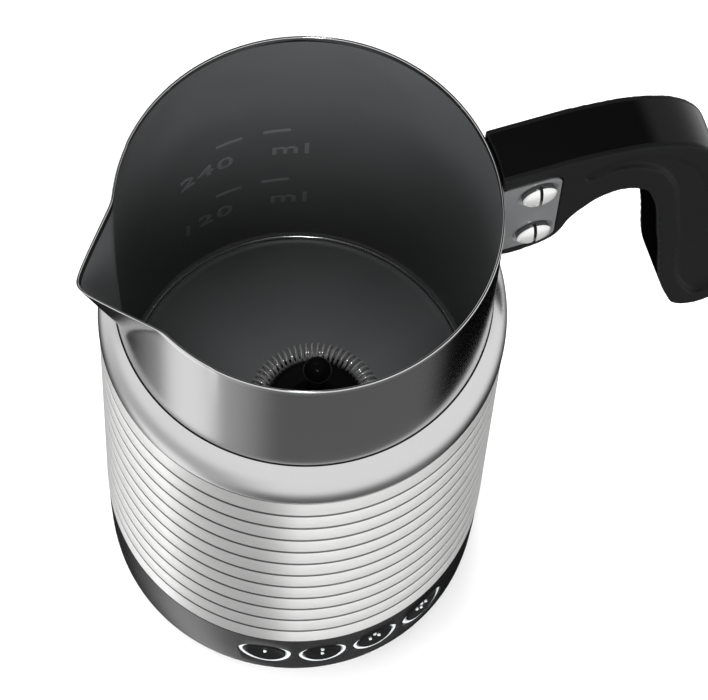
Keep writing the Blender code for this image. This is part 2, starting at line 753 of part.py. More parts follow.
def solid_outline(name, points, half_depth, look, parent, y=0.0, steps=3):
    """A flat outline in the XZ plane, with depth along Y: Bezier points with a corner mark, or plain ones."""
    curve = bpy.data.curves.new(name + "_outline", "CURVE")
    curve.dimensions = "2D"
    curve.fill_mode = "BOTH"
    curve.extrude = half_depth
    curve.resolution_u = steps
    if len(points[0]) == 2:
        line = curve.splines.new("POLY")
        line.points.add(len(points) - 1)
        for spot, (x, z) in zip(line.points, points):
            spot.co = (x, z, 0, 1)
    else:
        line = curve.splines.new("BEZIER")
        line.bezier_points.add(len(points) - 1)
        for spot, (x, z, corner) in zip(line.bezier_points, points):
            spot.co = (x, z, 0)
            spot.handle_left_type = spot.handle_right_type = "VECTOR" if corner else "AUTO"
    line.use_cyclic_u = True
    drawn = bpy.data.objects.new(name + "_outline", curve)
    drawn.rotation_euler.x = math.radians(90)
    drawn.location.y = y
    bpy.context.scene.collection.objects.link(drawn)
    bpy.context.view_layer.update()
    graph = bpy.context.evaluated_depsgraph_get()
    flat = bpy.data.meshes.new_from_object(drawn.evaluated_get(graph))
    flat.transform(drawn.matrix_world)
    shape = bmesh.new()
    shape.from_mesh(flat)
    bmesh.ops.remove_doubles(shape, verts=shape.verts, dist=0.00001)
    bmesh.ops.recalc_face_normals(shape, faces=shape.faces)
    shape.to_mesh(flat)
    shape.free()
    bpy.data.objects.remove(drawn)
    flat.name = name
    flat.shade_smooth()
    flat.set_sharp_from_angle(angle=math.radians(35))
    return place(name, flat, look, parent)


def bracket_outline(grow=0.0):
    """The bracket's side plate, with round outer corners; grow is a gap all round it."""
    end, low, high = BRACKET_END_X + grow, BRACKET_BOTTOM_Z - grow, BRACKET_TOP_Z + grow
    r = BRACKET_CORNER + grow
    return [
        (JUG_R + 0.0002 - 10 * grow, low),
        *arc((end - r, low + r), r, -90, 0, 3),
        *arc((end - r, high - r), r, 0, 90, 3),
        (JUG_R + 0.0002 - 10 * grow, high),
    ]


def handle():
    """Moulded handle: an arm out from the rim and a grip that leans out as it comes down."""
    grip = solid_outline("handle", HANDLE_OUTLINE, HANDLE_HALF_WIDTH, BLACK, JUG)
    bevel(grip, 0.0016, segments=2, angle=50)
    plate_top = BRACKET_TOP_Z + GAP
    wall = rod("handle_wall_cut", JUG_R + GAP, (0, 0, 0.05), (0, 0, 0.20), segments=SEGMENTS)
    flange_r = JUG_R + BRACKET_T + 2 * GAP
    flange = rod("handle_flange_cut", flange_r, (0, 0, 0.05), (0, 0, plate_top), segments=SEGMENTS)
    boolean(grip, wall)
    boolean(grip, flange)
    seat_half = 0.003
    seat_y = BRACKET_T + GAP - HANDLE_HALF_WIDTH - seat_half
    boolean(grip, solid_outline("bracket_seat", bracket_outline(GAP), seat_half, None, None, y=seat_y))
    for label, z in SCREW_ZS.items():
        bore = rod(f"handle_bore_{label}", 0.0023, (SCREW_X, -0.02, z), (SCREW_X, 0.0030, z), segments=16)
        boolean(grip, bore)
    scoop_depth = 0.0009
    for side in (-1, 1):
        scoop = solid_outline(
            f"grip_scoop_{'back' if side > 0 else 'front'}",
            GRIP_SCOOP,
            scoop_depth,
            None,
            None,
            y=side * HANDLE_HALF_WIDTH,
            steps=2,
        )
        boolean(grip, scoop)


def handle_bracket():
    """Steel plate let into the handle's side, with a curved flange welded to the jug's wall."""
    inner = JUG_R + GAP
    flange = [
        (inner, BRACKET_BOTTOM_Z),
        (inner + BRACKET_T, BRACKET_BOTTOM_Z),
        (inner + BRACKET_T, BRACKET_TOP_Z),
        (inner, BRACKET_TOP_Z),
    ]
    bracket = turned("handle_bracket", flange, STEEL, JUG, segments=SEGMENTS)
    front = -HANDLE_HALF_WIDTH
    keep = block(
        "flange_width",
        (0.020, 2 * HANDLE_HALF_WIDTH, 0.06),
        (0.045, 0, (BRACKET_TOP_Z + BRACKET_BOTTOM_Z) / 2),
    )
    boolean(bracket, keep, "INTERSECT")
    middle = front + BRACKET_T / 2
    plate = solid_outline("bracket_plate", bracket_outline(), BRACKET_T / 2, None, None, y=middle)
    boolean(bracket, plate, "UNION")
    for label, z in SCREW_ZS.items():
        hole = rod(f"bracket_hole_{label}", 0.0022, (SCREW_X, -0.02, z), (SCREW_X, 0.0, z))
        dish = rod(
            f"bracket_dish_{label}",
            SCREW_SEAT_R + 0.0010,
            (SCREW_X, front - 0.0006, z),
            (SCREW_X, front + 0.0006, z),
            end_radius=SCREW_HEAD_R + 0.0001,
        )
        boolean(bracket, hole)
        boolean(bracket, dish)


def handle_screws():
    """Two domed screws with a slot, through the bracket into the handle."""
    face = -HANDLE_HALF_WIDTH + 0.0006 - GAP
    for label, z in SCREW_ZS.items():
        profile = [
            (0, 0.0085),
            (0.0018, 0.0085),
            (0.0018, 0),
            (SCREW_HEAD_R, 0),
            (SCREW_HEAD_R, -0.0003),
            (SCREW_HEAD_R * 0.88, -SCREW_DOME * 0.50),
            (SCREW_HEAD_R * 0.64, -SCREW_DOME * 0.78),
            (SCREW_HEAD_R * 0.34, -SCREW_DOME * 0.95),
            (0, -SCREW_DOME),
        ]
        screw = turned(f"handle_screw_{label}", profile, CHROME, JUG, (SCREW_X, face, z), segments=20)
        screw.rotation_euler.x = math.radians(-90)
        slot = block(f"screw_slot_{label}", (0.0008, 0.0022, 0.012), (SCREW_X, face - SCREW_DOME - 0.0001, z))
        boolean(screw, slot)


# ---------------------------------------------------------------- whisk
def whisk():
    """Hub with magnets, stem and knob, a bush that stays still on the jug's pin, and the wire ring."""
    foot = JUG_FLOOR_Z + 0.0014
    bush = [
        (0.0018, foot),
        (0.0026, foot),
        (0.0026, foot + 0.0042),
        (0.0018, foot + 0.0042),
    ]
    turned("whisk_bush", bush, BRASS, WHISK, segments=16)
    seat_r, disc_r = COIL_RING_R + 0.0002, COIL_RING_R - COIL_RING_MINOR - 0.0005
    low = JUG_FLOOR_Z + 0.0010
    disc_top = low + 0.0042
    body = [
        (0, low + 0.0056),
        (0.0029, low + 0.0056),
        (0.0029, low),
        (seat_r, low),
        (seat_r, low + 0.0008),
        (disc_r, low + 0.0010),
        (disc_r, disc_top - 0.0006),
        (disc_r - 0.0006, disc_top),
        (0.0062, disc_top),
        (0.0044, disc_top + 0.0030),
        (0.0024, disc_top + 0.0070),
        (0.0018, KNOB_Z - KNOB_R - GAP),
        (0, KNOB_Z - KNOB_R - GAP),
    ]
    hub = turned("whisk_body", body, BLACK, WHISK, segments=32)
    for side, label in ((-1, "1"), (1, "2")):
        x = side * 0.0072
        foot, end = (WHISK_X + x, WHISK_Y, low - 0.001), (WHISK_X + x, WHISK_Y, low + 0.0030)
        boolean(hub, rod(f"whisk_pocket_{label}", WHISK_MAGNET_R + GAP, foot, end))
        rod(f"whisk_magnet_{label}", WHISK_MAGNET_R, (x, 0, low + GAP), (x, 0, low + 0.0027), MAGNET, WHISK)
    knob = bpy.data.meshes.new("whisk_knob")
    ball = bmesh.new()
    bmesh.ops.create_uvsphere(ball, u_segments=16, v_segments=10, radius=KNOB_R)
    ball.to_mesh(knob)
    ball.free()
    knob.shade_smooth()
    place("whisk_knob", knob, BLACK, WHISK, (0, 0, KNOB_Z))
    ring = arc((COIL_RING_R, COIL_RING_Z), COIL_RING_MINOR, 0, 315, 7)
    turned("whisk_coil", ring, STEEL, WHISK, segments=36)


base_pad()
bottom_cover()
cover_screws()
lower_housing()
ribbed_sleeve()
collar()
jug_well()
heater()
temperature_sensor()
motor()
rotor()
electronics()
buttons()
cable_gland()
jug_shell()
jug_fittings()
handle()
handle_bracket()
handle_screws()
whisk()
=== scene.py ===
"""Looks for the milk frother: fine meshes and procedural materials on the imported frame.

Metres, in the frame's own axes: the handle is at +X, the spout at -X, the buttons at -Y.
"""

import math

import bmesh
import bpy
from mathutils import Matrix, Vector

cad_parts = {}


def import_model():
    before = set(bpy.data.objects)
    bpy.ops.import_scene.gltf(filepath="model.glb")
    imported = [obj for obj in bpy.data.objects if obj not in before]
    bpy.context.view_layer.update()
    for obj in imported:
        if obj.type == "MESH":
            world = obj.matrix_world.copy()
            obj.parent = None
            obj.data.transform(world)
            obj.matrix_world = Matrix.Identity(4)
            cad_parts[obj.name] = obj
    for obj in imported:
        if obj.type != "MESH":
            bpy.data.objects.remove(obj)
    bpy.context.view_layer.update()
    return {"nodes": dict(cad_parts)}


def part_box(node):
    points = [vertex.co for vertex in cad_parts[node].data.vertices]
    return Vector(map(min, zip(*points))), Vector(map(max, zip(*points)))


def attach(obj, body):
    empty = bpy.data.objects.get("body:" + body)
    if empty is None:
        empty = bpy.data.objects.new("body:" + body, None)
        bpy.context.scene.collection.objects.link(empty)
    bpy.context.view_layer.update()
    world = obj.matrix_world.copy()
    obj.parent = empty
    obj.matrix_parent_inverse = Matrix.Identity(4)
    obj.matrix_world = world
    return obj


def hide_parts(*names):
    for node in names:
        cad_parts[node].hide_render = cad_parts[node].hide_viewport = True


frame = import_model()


def middle(name):
    """The middle of a CAD node's box."""
    return sum(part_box(name), Vector()) / 2


# ---------------------------------------------------------------- sizes, most of them read from the frame
DISC_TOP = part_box("jug_base_disc")[1].z
RIM_Z = DISC_TOP + 0.0977
FLOOR_Z = DISC_TOP + 0.0011  # top of the jug's floor
JUG_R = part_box("jug_shell")[1].x
JUG_WALL = 0.0006
INNER_R = JUG_R - JUG_WALL
WALL_DEPTHS = (0.042, 0.055, 0.07, 0.085)  # under the rim, below the spout
SPOUT_REACH = 0.0106
SPOUT_DROP = 0.031
SPOUT_HALF_ANGLE = math.radians(22.4)
SPOUT_TURN = math.radians(2.6)  # from straight across the handle towards the buttons
TIP_ROUNDING, TIP_CUT = 0.036, 0.016  # in radians about the axis
FOLD_SOFTNESS, FOLD_SPREAD = 0.0005, 0.004  # of the crease between spout and wall
LEVELS = (("240", 0.1212), ("120", 0.0965))  # number, and the line's height

BODY_R = 0.0445
COLLAR_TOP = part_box("collar")[1].z
COLLAR_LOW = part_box("collar")[0].z
SLEEVE_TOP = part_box("ribbed_sleeve")[1].z
SLEEVE_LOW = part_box("ribbed_sleeve")[0].z
BANDS = 12

WHISK = middle("whisk_knob")  # on the whisk's axis
KNOB_R = (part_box("whisk_knob")[1].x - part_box("whisk_knob")[0].x) / 2
COIL_Z = middle("whisk_coil").z
COIL_OUTER = (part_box("whisk_coil")[1].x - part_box("whisk_coil")[0].x) / 2

PLATE_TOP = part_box("handle_bracket")[1].z - 0.0020
PLATE_THICK = 0.0010
HANDLE_HALF = (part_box("handle")[1].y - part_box("handle")[0].y) / 2
SCREW_SPOTS = {side: middle(f"handle_screw_{side}") for side in ("upper", "lower")}
BUTTONS = ("dense_foam", "light_foam", "hot_milk", "cold_foam")


# ---------------------------------------------------------------- mesh helpers
def show(name, mesh, look, body, location=(0, 0, 0), replaced=()):
    """Links a mesh as a piece that rides on a body, in one material or several."""
    piece = bpy.data.objects.new(name, mesh)
    bpy.context.scene.collection.objects.link(piece)
    piece.location = location
    if look is not None:
        if mesh.materials:
            mesh.materials.clear()
        for each in look if isinstance(look, (list, tuple)) else [look]:
            mesh.materials.append(each)
    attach(piece, body)
    if replaced:
        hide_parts(*replaced)
    return piece


def crisp(mesh, angle=30):
    """Smooth shading, except across edges that turn by more than angle, in degrees."""
    mesh.shade_smooth()
    mesh.set_sharp_from_angle(angle=math.radians(angle))
    return mesh


def meshed(name, shape, outward=True):
    """The mesh of a bmesh, which is freed; outward turns all its faces out first."""
    if outward:
        bmesh.ops.recalc_face_normals(shape, faces=shape.faces)
    mesh = bpy.data.meshes.new(name)
    shape.to_mesh(mesh)
    shape.free()
    return mesh


def strip(shape, first, second, count):
    """The faces between two closed rings of count points, either of which may be a single point."""
    made = []
    for i in range(count):
        j = (i + 1) % count
        loop = [first[i % len(first)], first[j % len(first)]]
        loop += [second[j % len(second)], second[i % len(second)]]
        made.append(shape.faces.new([v for k, v in enumerate(loop) if v not in loop[:k]]))
    return made


def arc(centre, radius, start, end, steps, height=None):
    """(r, z) points on an arc, in degrees from the +r direction; height makes it an ellipse."""
    tall = radius if height is None else height
    turns = [math.radians(start + (end - start) * i / steps) for i in range(steps + 1)]
    return [(centre[0] + radius * math.cos(a), centre[1] + tall * math.sin(a)) for a in turns]


def softened(points, radius, steps=3, closed=True):
    """A profile with each of its corners rounded, or left alone where its sides are too short."""
    count = len(points)
    out = []
    for i, point in enumerate(points):
        here = Vector(point)
        if not closed and i in (0, count - 1):
            out.append(point)
            continue
        back, ahead = Vector(points[i - 1]) - here, Vector(points[(i + 1) % count]) - here
        turn = back.angle(ahead, math.pi)
        if turn > math.radians(165) or here.x == 0:
            out.append(point)
            continue
        reach = min(radius / math.tan(turn / 2), back.length * 0.45, ahead.length * 0.45)
        first, last = here + back.normalized() * reach, here + ahead.normalized() * reach
        for k in range(steps + 1):
            t = k / steps
            spot = first * (1 - t) ** 2 + here * 2 * t * (1 - t) + last * t**2
            out.append((spot.x, spot.y))
    return out


def revolved(name, profile, segments=160, angle=30):
    """Mesh of a closed (r, z) profile turned round Z; one whose ends are on the axis closes there."""
    solid = profile[0][0] == 0 and profile[-1][0] == 0
    shape = bmesh.new()
    turns = [2 * math.pi * i / segments for i in range(segments)]
    rings = []
    for r, z in profile:
        if r == 0:
            rings.append([shape.verts.new((0, 0, z))])
        else:
            rings.append([shape.verts.new((r * math.cos(a), r * math.sin(a), z)) for a in turns])
    pairs = list(zip(rings, rings[1:] + ([] if solid else rings[:1])))
    for upper, lower in pairs:
        for i in range(segments):
            j = (i + 1) % segments
            loop = [upper[i % len(upper)], lower[i % len(lower)]]
            loop += [lower[j % len(lower)], upper[j % len(upper)]]
            face = [v for k, v in enumerate(loop) if v not in loop[:k]]
            if len(face) > 2:
                shape.faces.new(face)
    return crisp(meshed(name, shape), angle)


def evaluated(name, source, steps=None):
    """The mesh of a mesh or curve, after the modifiers that steps(object) makes."""
    helper = bpy.data.objects.new(name + "_helper", source)
    bpy.context.scene.collection.objects.link(helper)
    if steps:
        steps(helper)
    bpy.context.view_layer.update()
    graph = bpy.context.evaluated_depsgraph_get()
    mesh = bpy.data.meshes.new_from_object(helper.evaluated_get(graph))
    bpy.data.objects.remove(helper)
    mesh.name = name
    return mesh


def cut_by(helper, *cutters):
    """Booleans that take each cutter mesh out of helper; returns the cutters' objects."""
    made = []
    for i, mesh in enumerate(cutters):
        cutter = bpy.data.objects.new(f"{helper.name}_cutter_{i}", mesh)
        bpy.context.scene.collection.objects.link(cutter)
        step = helper.modifiers.new(f"cut_{i}", "BOOLEAN")
        step.operation = "DIFFERENCE"
        step.object = cutter
        made.append(cutter)
    return made


def drilled(name, mesh, cutters, angle=30, rounded=0.0):
    """mesh with the cutters taken out of it, and its sharp edges rounded a little."""
    made = []

    def steps(helper):
        made.extend(cut_by(helper, *cutters))
        if rounded:
            step = helper.modifiers.new("soften", "BEVEL")
            step.width = rounded
            step.segments = 2
            step.limit_method = "ANGLE"
            step.angle_limit = math.radians(40)
            step.use_clamp_overlap = True

    result = evaluated(name, mesh, steps)
    for cutter in made:
        bpy.data.objects.remove(cutter)
    return crisp(result, angle)


def rod_mesh(radius, start, end, segments=48, end_radius=None):
    """Mesh of a round bar, or a cone, from one point to another."""
    start, end = Vector(start), Vector(end)
    along = end - start
    turn = Vector((0, 0, 1)).rotation_difference(along).to_matrix().to_4x4()
    shape = bmesh.new()
    bmesh.ops.create_cone(
        shape,
        cap_ends=True,
        segments=segments,
        radius1=radius,
        radius2=radius if end_radius is None else end_radius,
        depth=along.length,
        matrix=Matrix.Translation((start + end) / 2) @ turn,
    )
    return meshed("rod", shape, outward=False)


def box_mesh(size, centre):
    """Mesh of a box of that size about its centre."""
    shape = bmesh.new()
    bmesh.ops.create_cube(shape, size=1, matrix=Matrix.Translation(centre) @ Matrix.Diagonal((*size, 1)))
    return meshed("box", shape, outward=False)


# ---------------------------------------------------------------- material helpers
def new_material(name, colour, roughness, metallic=0.0, **sockets):
    """A Principled material and its node tree; further sockets are set by name."""
    made = bpy.data.materials.new(name)
    made.use_nodes = True
    tree = made.node_tree
    shader = tree.nodes["Principled BSDF"]
    shader.inputs["Base Color"].default_value = (*colour, 1)
    shader.inputs["Roughness"].default_value = roughness
    shader.inputs["Metallic"].default_value = metallic
    for socket, value in sockets.items():
        shader.inputs[socket.replace("_", " ").title().replace("Ior", "IOR")].default_value = value
    return made, tree, shader


def direction(azimuth, elevation=0.0):
    """Unit vector, from degrees."""
    a, e = math.radians(azimuth), math.radians(elevation)
    return Vector((math.cos(a) * math.cos(e), math.sin(a) * math.cos(e), math.sin(e)))


def math_node(tree, kind, operation, *values):
    """A math node; each value is a socket or a constant."""
    made = tree.nodes.new(kind)
    made.operation = operation
    for socket, value in zip(made.inputs, values):
        if isinstance(value, bpy.types.NodeSocket):
            tree.links.new(value, socket)
        else:
            socket.default_value = value
    return made


def level(tree, source):
    """The level part of a vector, at unit length."""
    flat = math_node(tree, "ShaderNodeVectorMath", "MULTIPLY", source, (1, 1, 0))
    return math_node(tree, "ShaderNodeVectorMath", "NORMALIZE", flat.outputs[0]).outputs[0]


def stepped(tree, value, low, high, bottom, top):
    """value mapped smoothly from low..high to bottom..top."""
    made = tree.nodes.new("ShaderNodeMapRange")
    made.interpolation_type = "SMOOTHSTEP"
    for socket, number in (("From Min", low), ("From Max", high), ("To Min", bottom), ("To Max", top)):
        made.inputs[socket].default_value = number
    tree.links.new(value, made.inputs["Value"])
    return made.outputs["Result"]


def lobe(tree, source, towards, inner, outer, top, bottom=0.0):
    """top where source is within inner degrees of a direction, going smoothly to bottom at outer."""
    dot = math_node(tree, "ShaderNodeVectorMath", "DOT_PRODUCT", source, towards)
    low, high = math.cos(math.radians(outer)), math.cos(math.radians(inner))
    return stepped(tree, dot.outputs["Value"], low, high, bottom, top)


def noise(tree, scale, detail=3.0, stretch=(1, 1, 1)):
    """Noise in the object's own coordinates, stretched along its axes."""
    place = tree.nodes.new("ShaderNodeTexCoord")
    shift = tree.nodes.new("ShaderNodeMapping")
    shift.inputs["Scale"].default_value = stretch
    made = tree.nodes.new("ShaderNodeTexNoise")
    made.inputs["Scale"].default_value = scale
    made.inputs["Detail"].default_value = detail
    tree.links.new(place.outputs["Object"], shift.inputs["Vector"])
    tree.links.new(shift.outputs["Vector"], made.inputs["Vector"])
    return made.outputs["Fac"]


def ranged(tree, value, low, high):
    """value, from 0..1, mapped to low..high."""
    made = tree.nodes.new("ShaderNodeMapRange")
    made.inputs["To Min"].default_value = low
    made.inputs["To Max"].default_value = high
    tree.links.new(value, made.inputs["Value"])
    return made.outputs["Result"]


def tinted(tree, shader, value, dark, light):
    """Colour between dark and light, by value."""
    mix = tree.nodes.new("ShaderNodeMix")
    mix.data_type = "RGBA"
    mix.inputs["A"].default_value = (*dark, 1)
    mix.inputs["B"].default_value = (*light, 1)
    tree.links.new(value, mix.inputs["Factor"])
    tree.links.new(mix.outputs["Result"], shader.inputs["Base Color"])


def bumped(tree, shader, value, depth):
    """Bump of that depth, in metres."""
    bump = tree.nodes.new("ShaderNodeBump")
    bump.inputs["Strength"].default_value = 1.0
    bump.inputs["Distance"].default_value = depth
    tree.links.new(value, bump.inputs["Height"])
    tree.links.new(bump.outputs["Normal"], shader.inputs["Normal"])


def brushed(name, colour, roughness, spread=0.08, lines=2600, metallic=1.0, depth=0.000004):
    """Metal brushed round the Z axis: fine lines that vary the sheen."""
    made, tree, shader = new_material(name, colour, roughness, metallic)
    grain = noise(tree, 1.0, 4.0, (14, 14, lines))
    tree.links.new(ranged(tree, grain, roughness - spread, roughness + spread), shader.inputs["Roughness"])
    tinted(tree, shader, grain, [c * 0.93 for c in colour], colour)
    bumped(tree, shader, grain, depth)
    return made


def painted_reflection_metal(name, colour, roughness, lobes, **rest):
    """Brushed metal with painted reflection: soft upright streaks, darker and lighter, painted into its
    colour; each lobe is an azimuth, a half width and a brightness.
    """
    made = brushed(name, colour, roughness, **rest)
    tree = made.node_tree
    socket = tree.nodes["Principled BSDF"].inputs["Base Color"]
    shade = socket.links[0].from_socket
    around = level(tree, tree.nodes.new("ShaderNodeTexCoord").outputs["Object"])
    # each lobe scales the colour by azimuth round the object: painted reflection
    for azimuth, width, brightness in lobes:
        soft = lobe(tree, around, direction(azimuth), 0, width, brightness, 1.0)
        scaled = math_node(tree, "ShaderNodeVectorMath", "SCALE", shade)
        tree.links.new(soft, scaled.inputs["Scale"])
        shade = scaled.outputs[0]
    tree.links.new(shade, socket)
    return made


def plain_metal(name, colour, roughness, spread=0.04, scale=220, metallic=1.0):
    """Metal with soft, uneven sheen."""
    made, tree, shader = new_material(name, colour, roughness, metallic)
    cloud = noise(tree, scale, 3.0)
    tree.links.new(ranged(tree, cloud, roughness - spread, roughness + spread), shader.inputs["Roughness"])
    tinted(tree, shader, cloud, [c * 0.95 for c in colour], colour)
    return made


def moulded(name, colour, roughness, grain_scale=2600, depth=0.00001, spread=0.05, **sockets):
    """Moulded plastic or rubber with a fine grain."""
    made, tree, shader = new_material(name, colour, roughness, **sockets)
    grain = noise(tree, grain_scale, 2.0)
    cloud = noise(tree, 60, 2.0)
    tree.links.new(ranged(tree, cloud, roughness - spread, roughness + spread), shader.inputs["Roughness"])
    tinted(tree, shader, cloud, [c * 0.85 for c in colour], [c * 1.1 for c in colour])
    bumped(tree, shader, grain, depth)
    return made


def wound(name, colour, pitch):
    """Enamelled wire wound in rings about the Z axis."""
    made, tree, shader = new_material(name, colour, 0.3, 1.0)
    place = tree.nodes.new("ShaderNodeTexCoord")
    rings = tree.nodes.new("ShaderNodeTexWave")
    rings.wave_type = "RINGS"
    rings.rings_direction = "Z"
    rings.inputs["Scale"].default_value = math.pi / (10 * pitch)
    tree.links.new(place.outputs["Object"], rings.inputs["Vector"])
    tinted(tree, shader, rings.outputs["Fac"], [c * 0.35 for c in colour], colour)
    bumped(tree, shader, rings.outputs["Fac"], 0.0003)
    return made


# ---------------------------------------------------------------- materials
STEEL = brushed("jug_steel", (0.66, 0.66, 0.67), 0.15, spread=0.03)
RIM = plain_metal("jug_rim_steel", (0.80, 0.80, 0.80), 0.14)
COATING = moulded("jug_coating", (0.078, 0.080, 0.082), 0.45, 1800, 0.000008)
# lighter than the coating round it: painted highlight on the stamped marks
MARK_PAINTED_HIGHLIGHT = moulded("level_mark_coating", (0.15, 0.154, 0.157), 0.34, 1800, 0.000004)
# azimuth, half width and brightness of the upright streaks: painted reflection, one darker band and two
# lighter ones in the colour
PAINTED_REFLECTION_LOBES = ((-129, 22, 0.55), (-158, 30, 1.28), (-86, 34, 1.22))
# the sleeve's colour carries these painted reflection streaks
SLEEVE = painted_reflection_metal("sleeve_aluminium", (0.52, 0.52, 0.515), 0.42, PAINTED_REFLECTION_LOBES, spread=0.06, metallic=0.4)
# a darker copy of the sleeve's metal for the grooves: painted shade, with the same painted reflection streaks
GROOVE_PAINTED_SHADE = painted_reflection_metal("groove_aluminium_painted_shade", (0.23, 0.23, 0.23), 0.5, PAINTED_REFLECTION_LOBES, metallic=0.6)
COLLAR = plain_metal("collar_chrome", (0.80, 0.80, 0.80), 0.22, spread=0.02)
PLATE = brushed("bracket_steel", (0.255, 0.26, 0.265), 0.36, lines=900, depth=0.000003, metallic=0.7)
SCREW = plain_metal("screw_chrome", (0.80, 0.80, 0.79), 0.26, metallic=0.62)
# a darker copy of the screws' chrome for their sides and slots: painted shade
SCREW_SIDE_PAINTED_SHADE = plain_metal("screw_side_painted_shade", (0.26, 0.26, 0.26), 0.2)
WIRE = plain_metal("whisk_wire", (0.88, 0.88, 0.88), 0.17, metallic=0.85)
HARDWARE = plain_metal("plated_steel", (0.60, 0.60, 0.61), 0.30)
MAGNET = plain_metal("nickel", (0.62, 0.61, 0.58), 0.24)
BRASS = plain_metal("brass", (0.74, 0.55, 0.27), 0.28)
GLOSS = moulded(
    "gloss_black", (0.002, 0.002, 0.0021), 0.12, 900, 0.000001, spread=0.02, specular_ior_level=0.15
)
SATIN = moulded("satin_black", (0.005, 0.0051, 0.0053), 0.42, 3000, 0.000008, specular_ior_level=0.09)
HOUSING = moulded("housing_black", (0.010, 0.010, 0.0105), 0.24, 1500, 0.000004, spread=0.03)
WELL = moulded("well_plastic", (0.030, 0.030, 0.032), 0.42, 2000, 0.00001)
INSIDE = moulded("inner_plastic", (0.05, 0.05, 0.052), 0.55)
RUBBER = moulded("rubber", (0.022, 0.022, 0.022), 0.78, 1600, 0.00003)
LENS = moulded("frosted_lens", (0.72, 0.75, 0.77), 0.36, 2400, 0.000006)
BOARD = moulded("circuit_board", (0.015, 0.12, 0.055), 0.38, 700, 0.00002)
FERRITE = moulded("ferrite", (0.055, 0.055, 0.06), 0.7)
COIL = wound("copper_winding", (0.72, 0.33, 0.17), 0.0009)

CAD_LOOKS = {
    "motor_can": HARDWARE,
    "motor_shaft": HARDWARE,
    "mount": HARDWARE,
    "cover_screw": HARDWARE,
    "tact_switch": HARDWARE,
    "heat_sink": HARDWARE,
    "temperature_sensor": HARDWARE,
    "jug_base_disc": HARDWARE,
    "whisk_pivot": HARDWARE,
    "drive_magnet": MAGNET,
    "whisk_magnet": MAGNET,
    "bearing_bush": BRASS,
    "whisk_bush": BRASS,
    "induction_coil": COIL,
    "power_choke": COIL,
    "ferrite": FERRITE,
    "power_board": BOARD,
    "switch_board": BOARD,
    "filter_capacitor": SATIN,
    "coil_carrier": INSIDE,
    "magnet_holder": INSIDE,
    "terminal_block": INSIDE,
}


def paint_cad_nodes():
    """Gives every CAD node that stays in view its own procedural material."""
    for name, node in frame["nodes"].items():
        for start, look in CAD_LOOKS.items():
            if name.startswith(start):
                node.data.materials.clear()
                node.data.materials.append(look)


# ---------------------------------------------------------------- jug
def spout_radius(angle, rise):
    """Outside of the wall at an angle from the spout's middle; rise is 1 at the rim and 0 below the spout."""
    if rise <= 0:
        return JUG_R
    tip = JUG_R + SPOUT_REACH
    side = Vector((JUG_R * math.cos(SPOUT_HALF_ANGLE) - tip, JUG_R * math.sin(SPOUT_HALF_ANGLE)))
    lean = math.atan2(-side.x, side.y)
    near = math.sqrt(angle * angle + TIP_ROUNDING**2) - TIP_CUT
    if near > lean:
        return JUG_R
    flat = (JUG_R + SPOUT_REACH * rise) * math.cos(lean) / math.cos(near - lean)
    soft = FOLD_SOFTNESS * rise
    blend = 0.5 * (flat + JUG_R + math.sqrt((flat - JUG_R) ** 2 + soft**2))
    return blend - soft * 0.5 * math.exp(-abs(flat - JUG_R) / FOLD_SPREAD)


# which of steel, bright rim and coating lies between two rows; a row of the floor's bead counts as 3
JUG_FINISHES = {(0, 0): 0, (0, 1): 1, (1, 1): 1, (1, 2): 1, (2, 2): 2, (2, 3): 2, (3, 3): 1, (3, 2): 2}


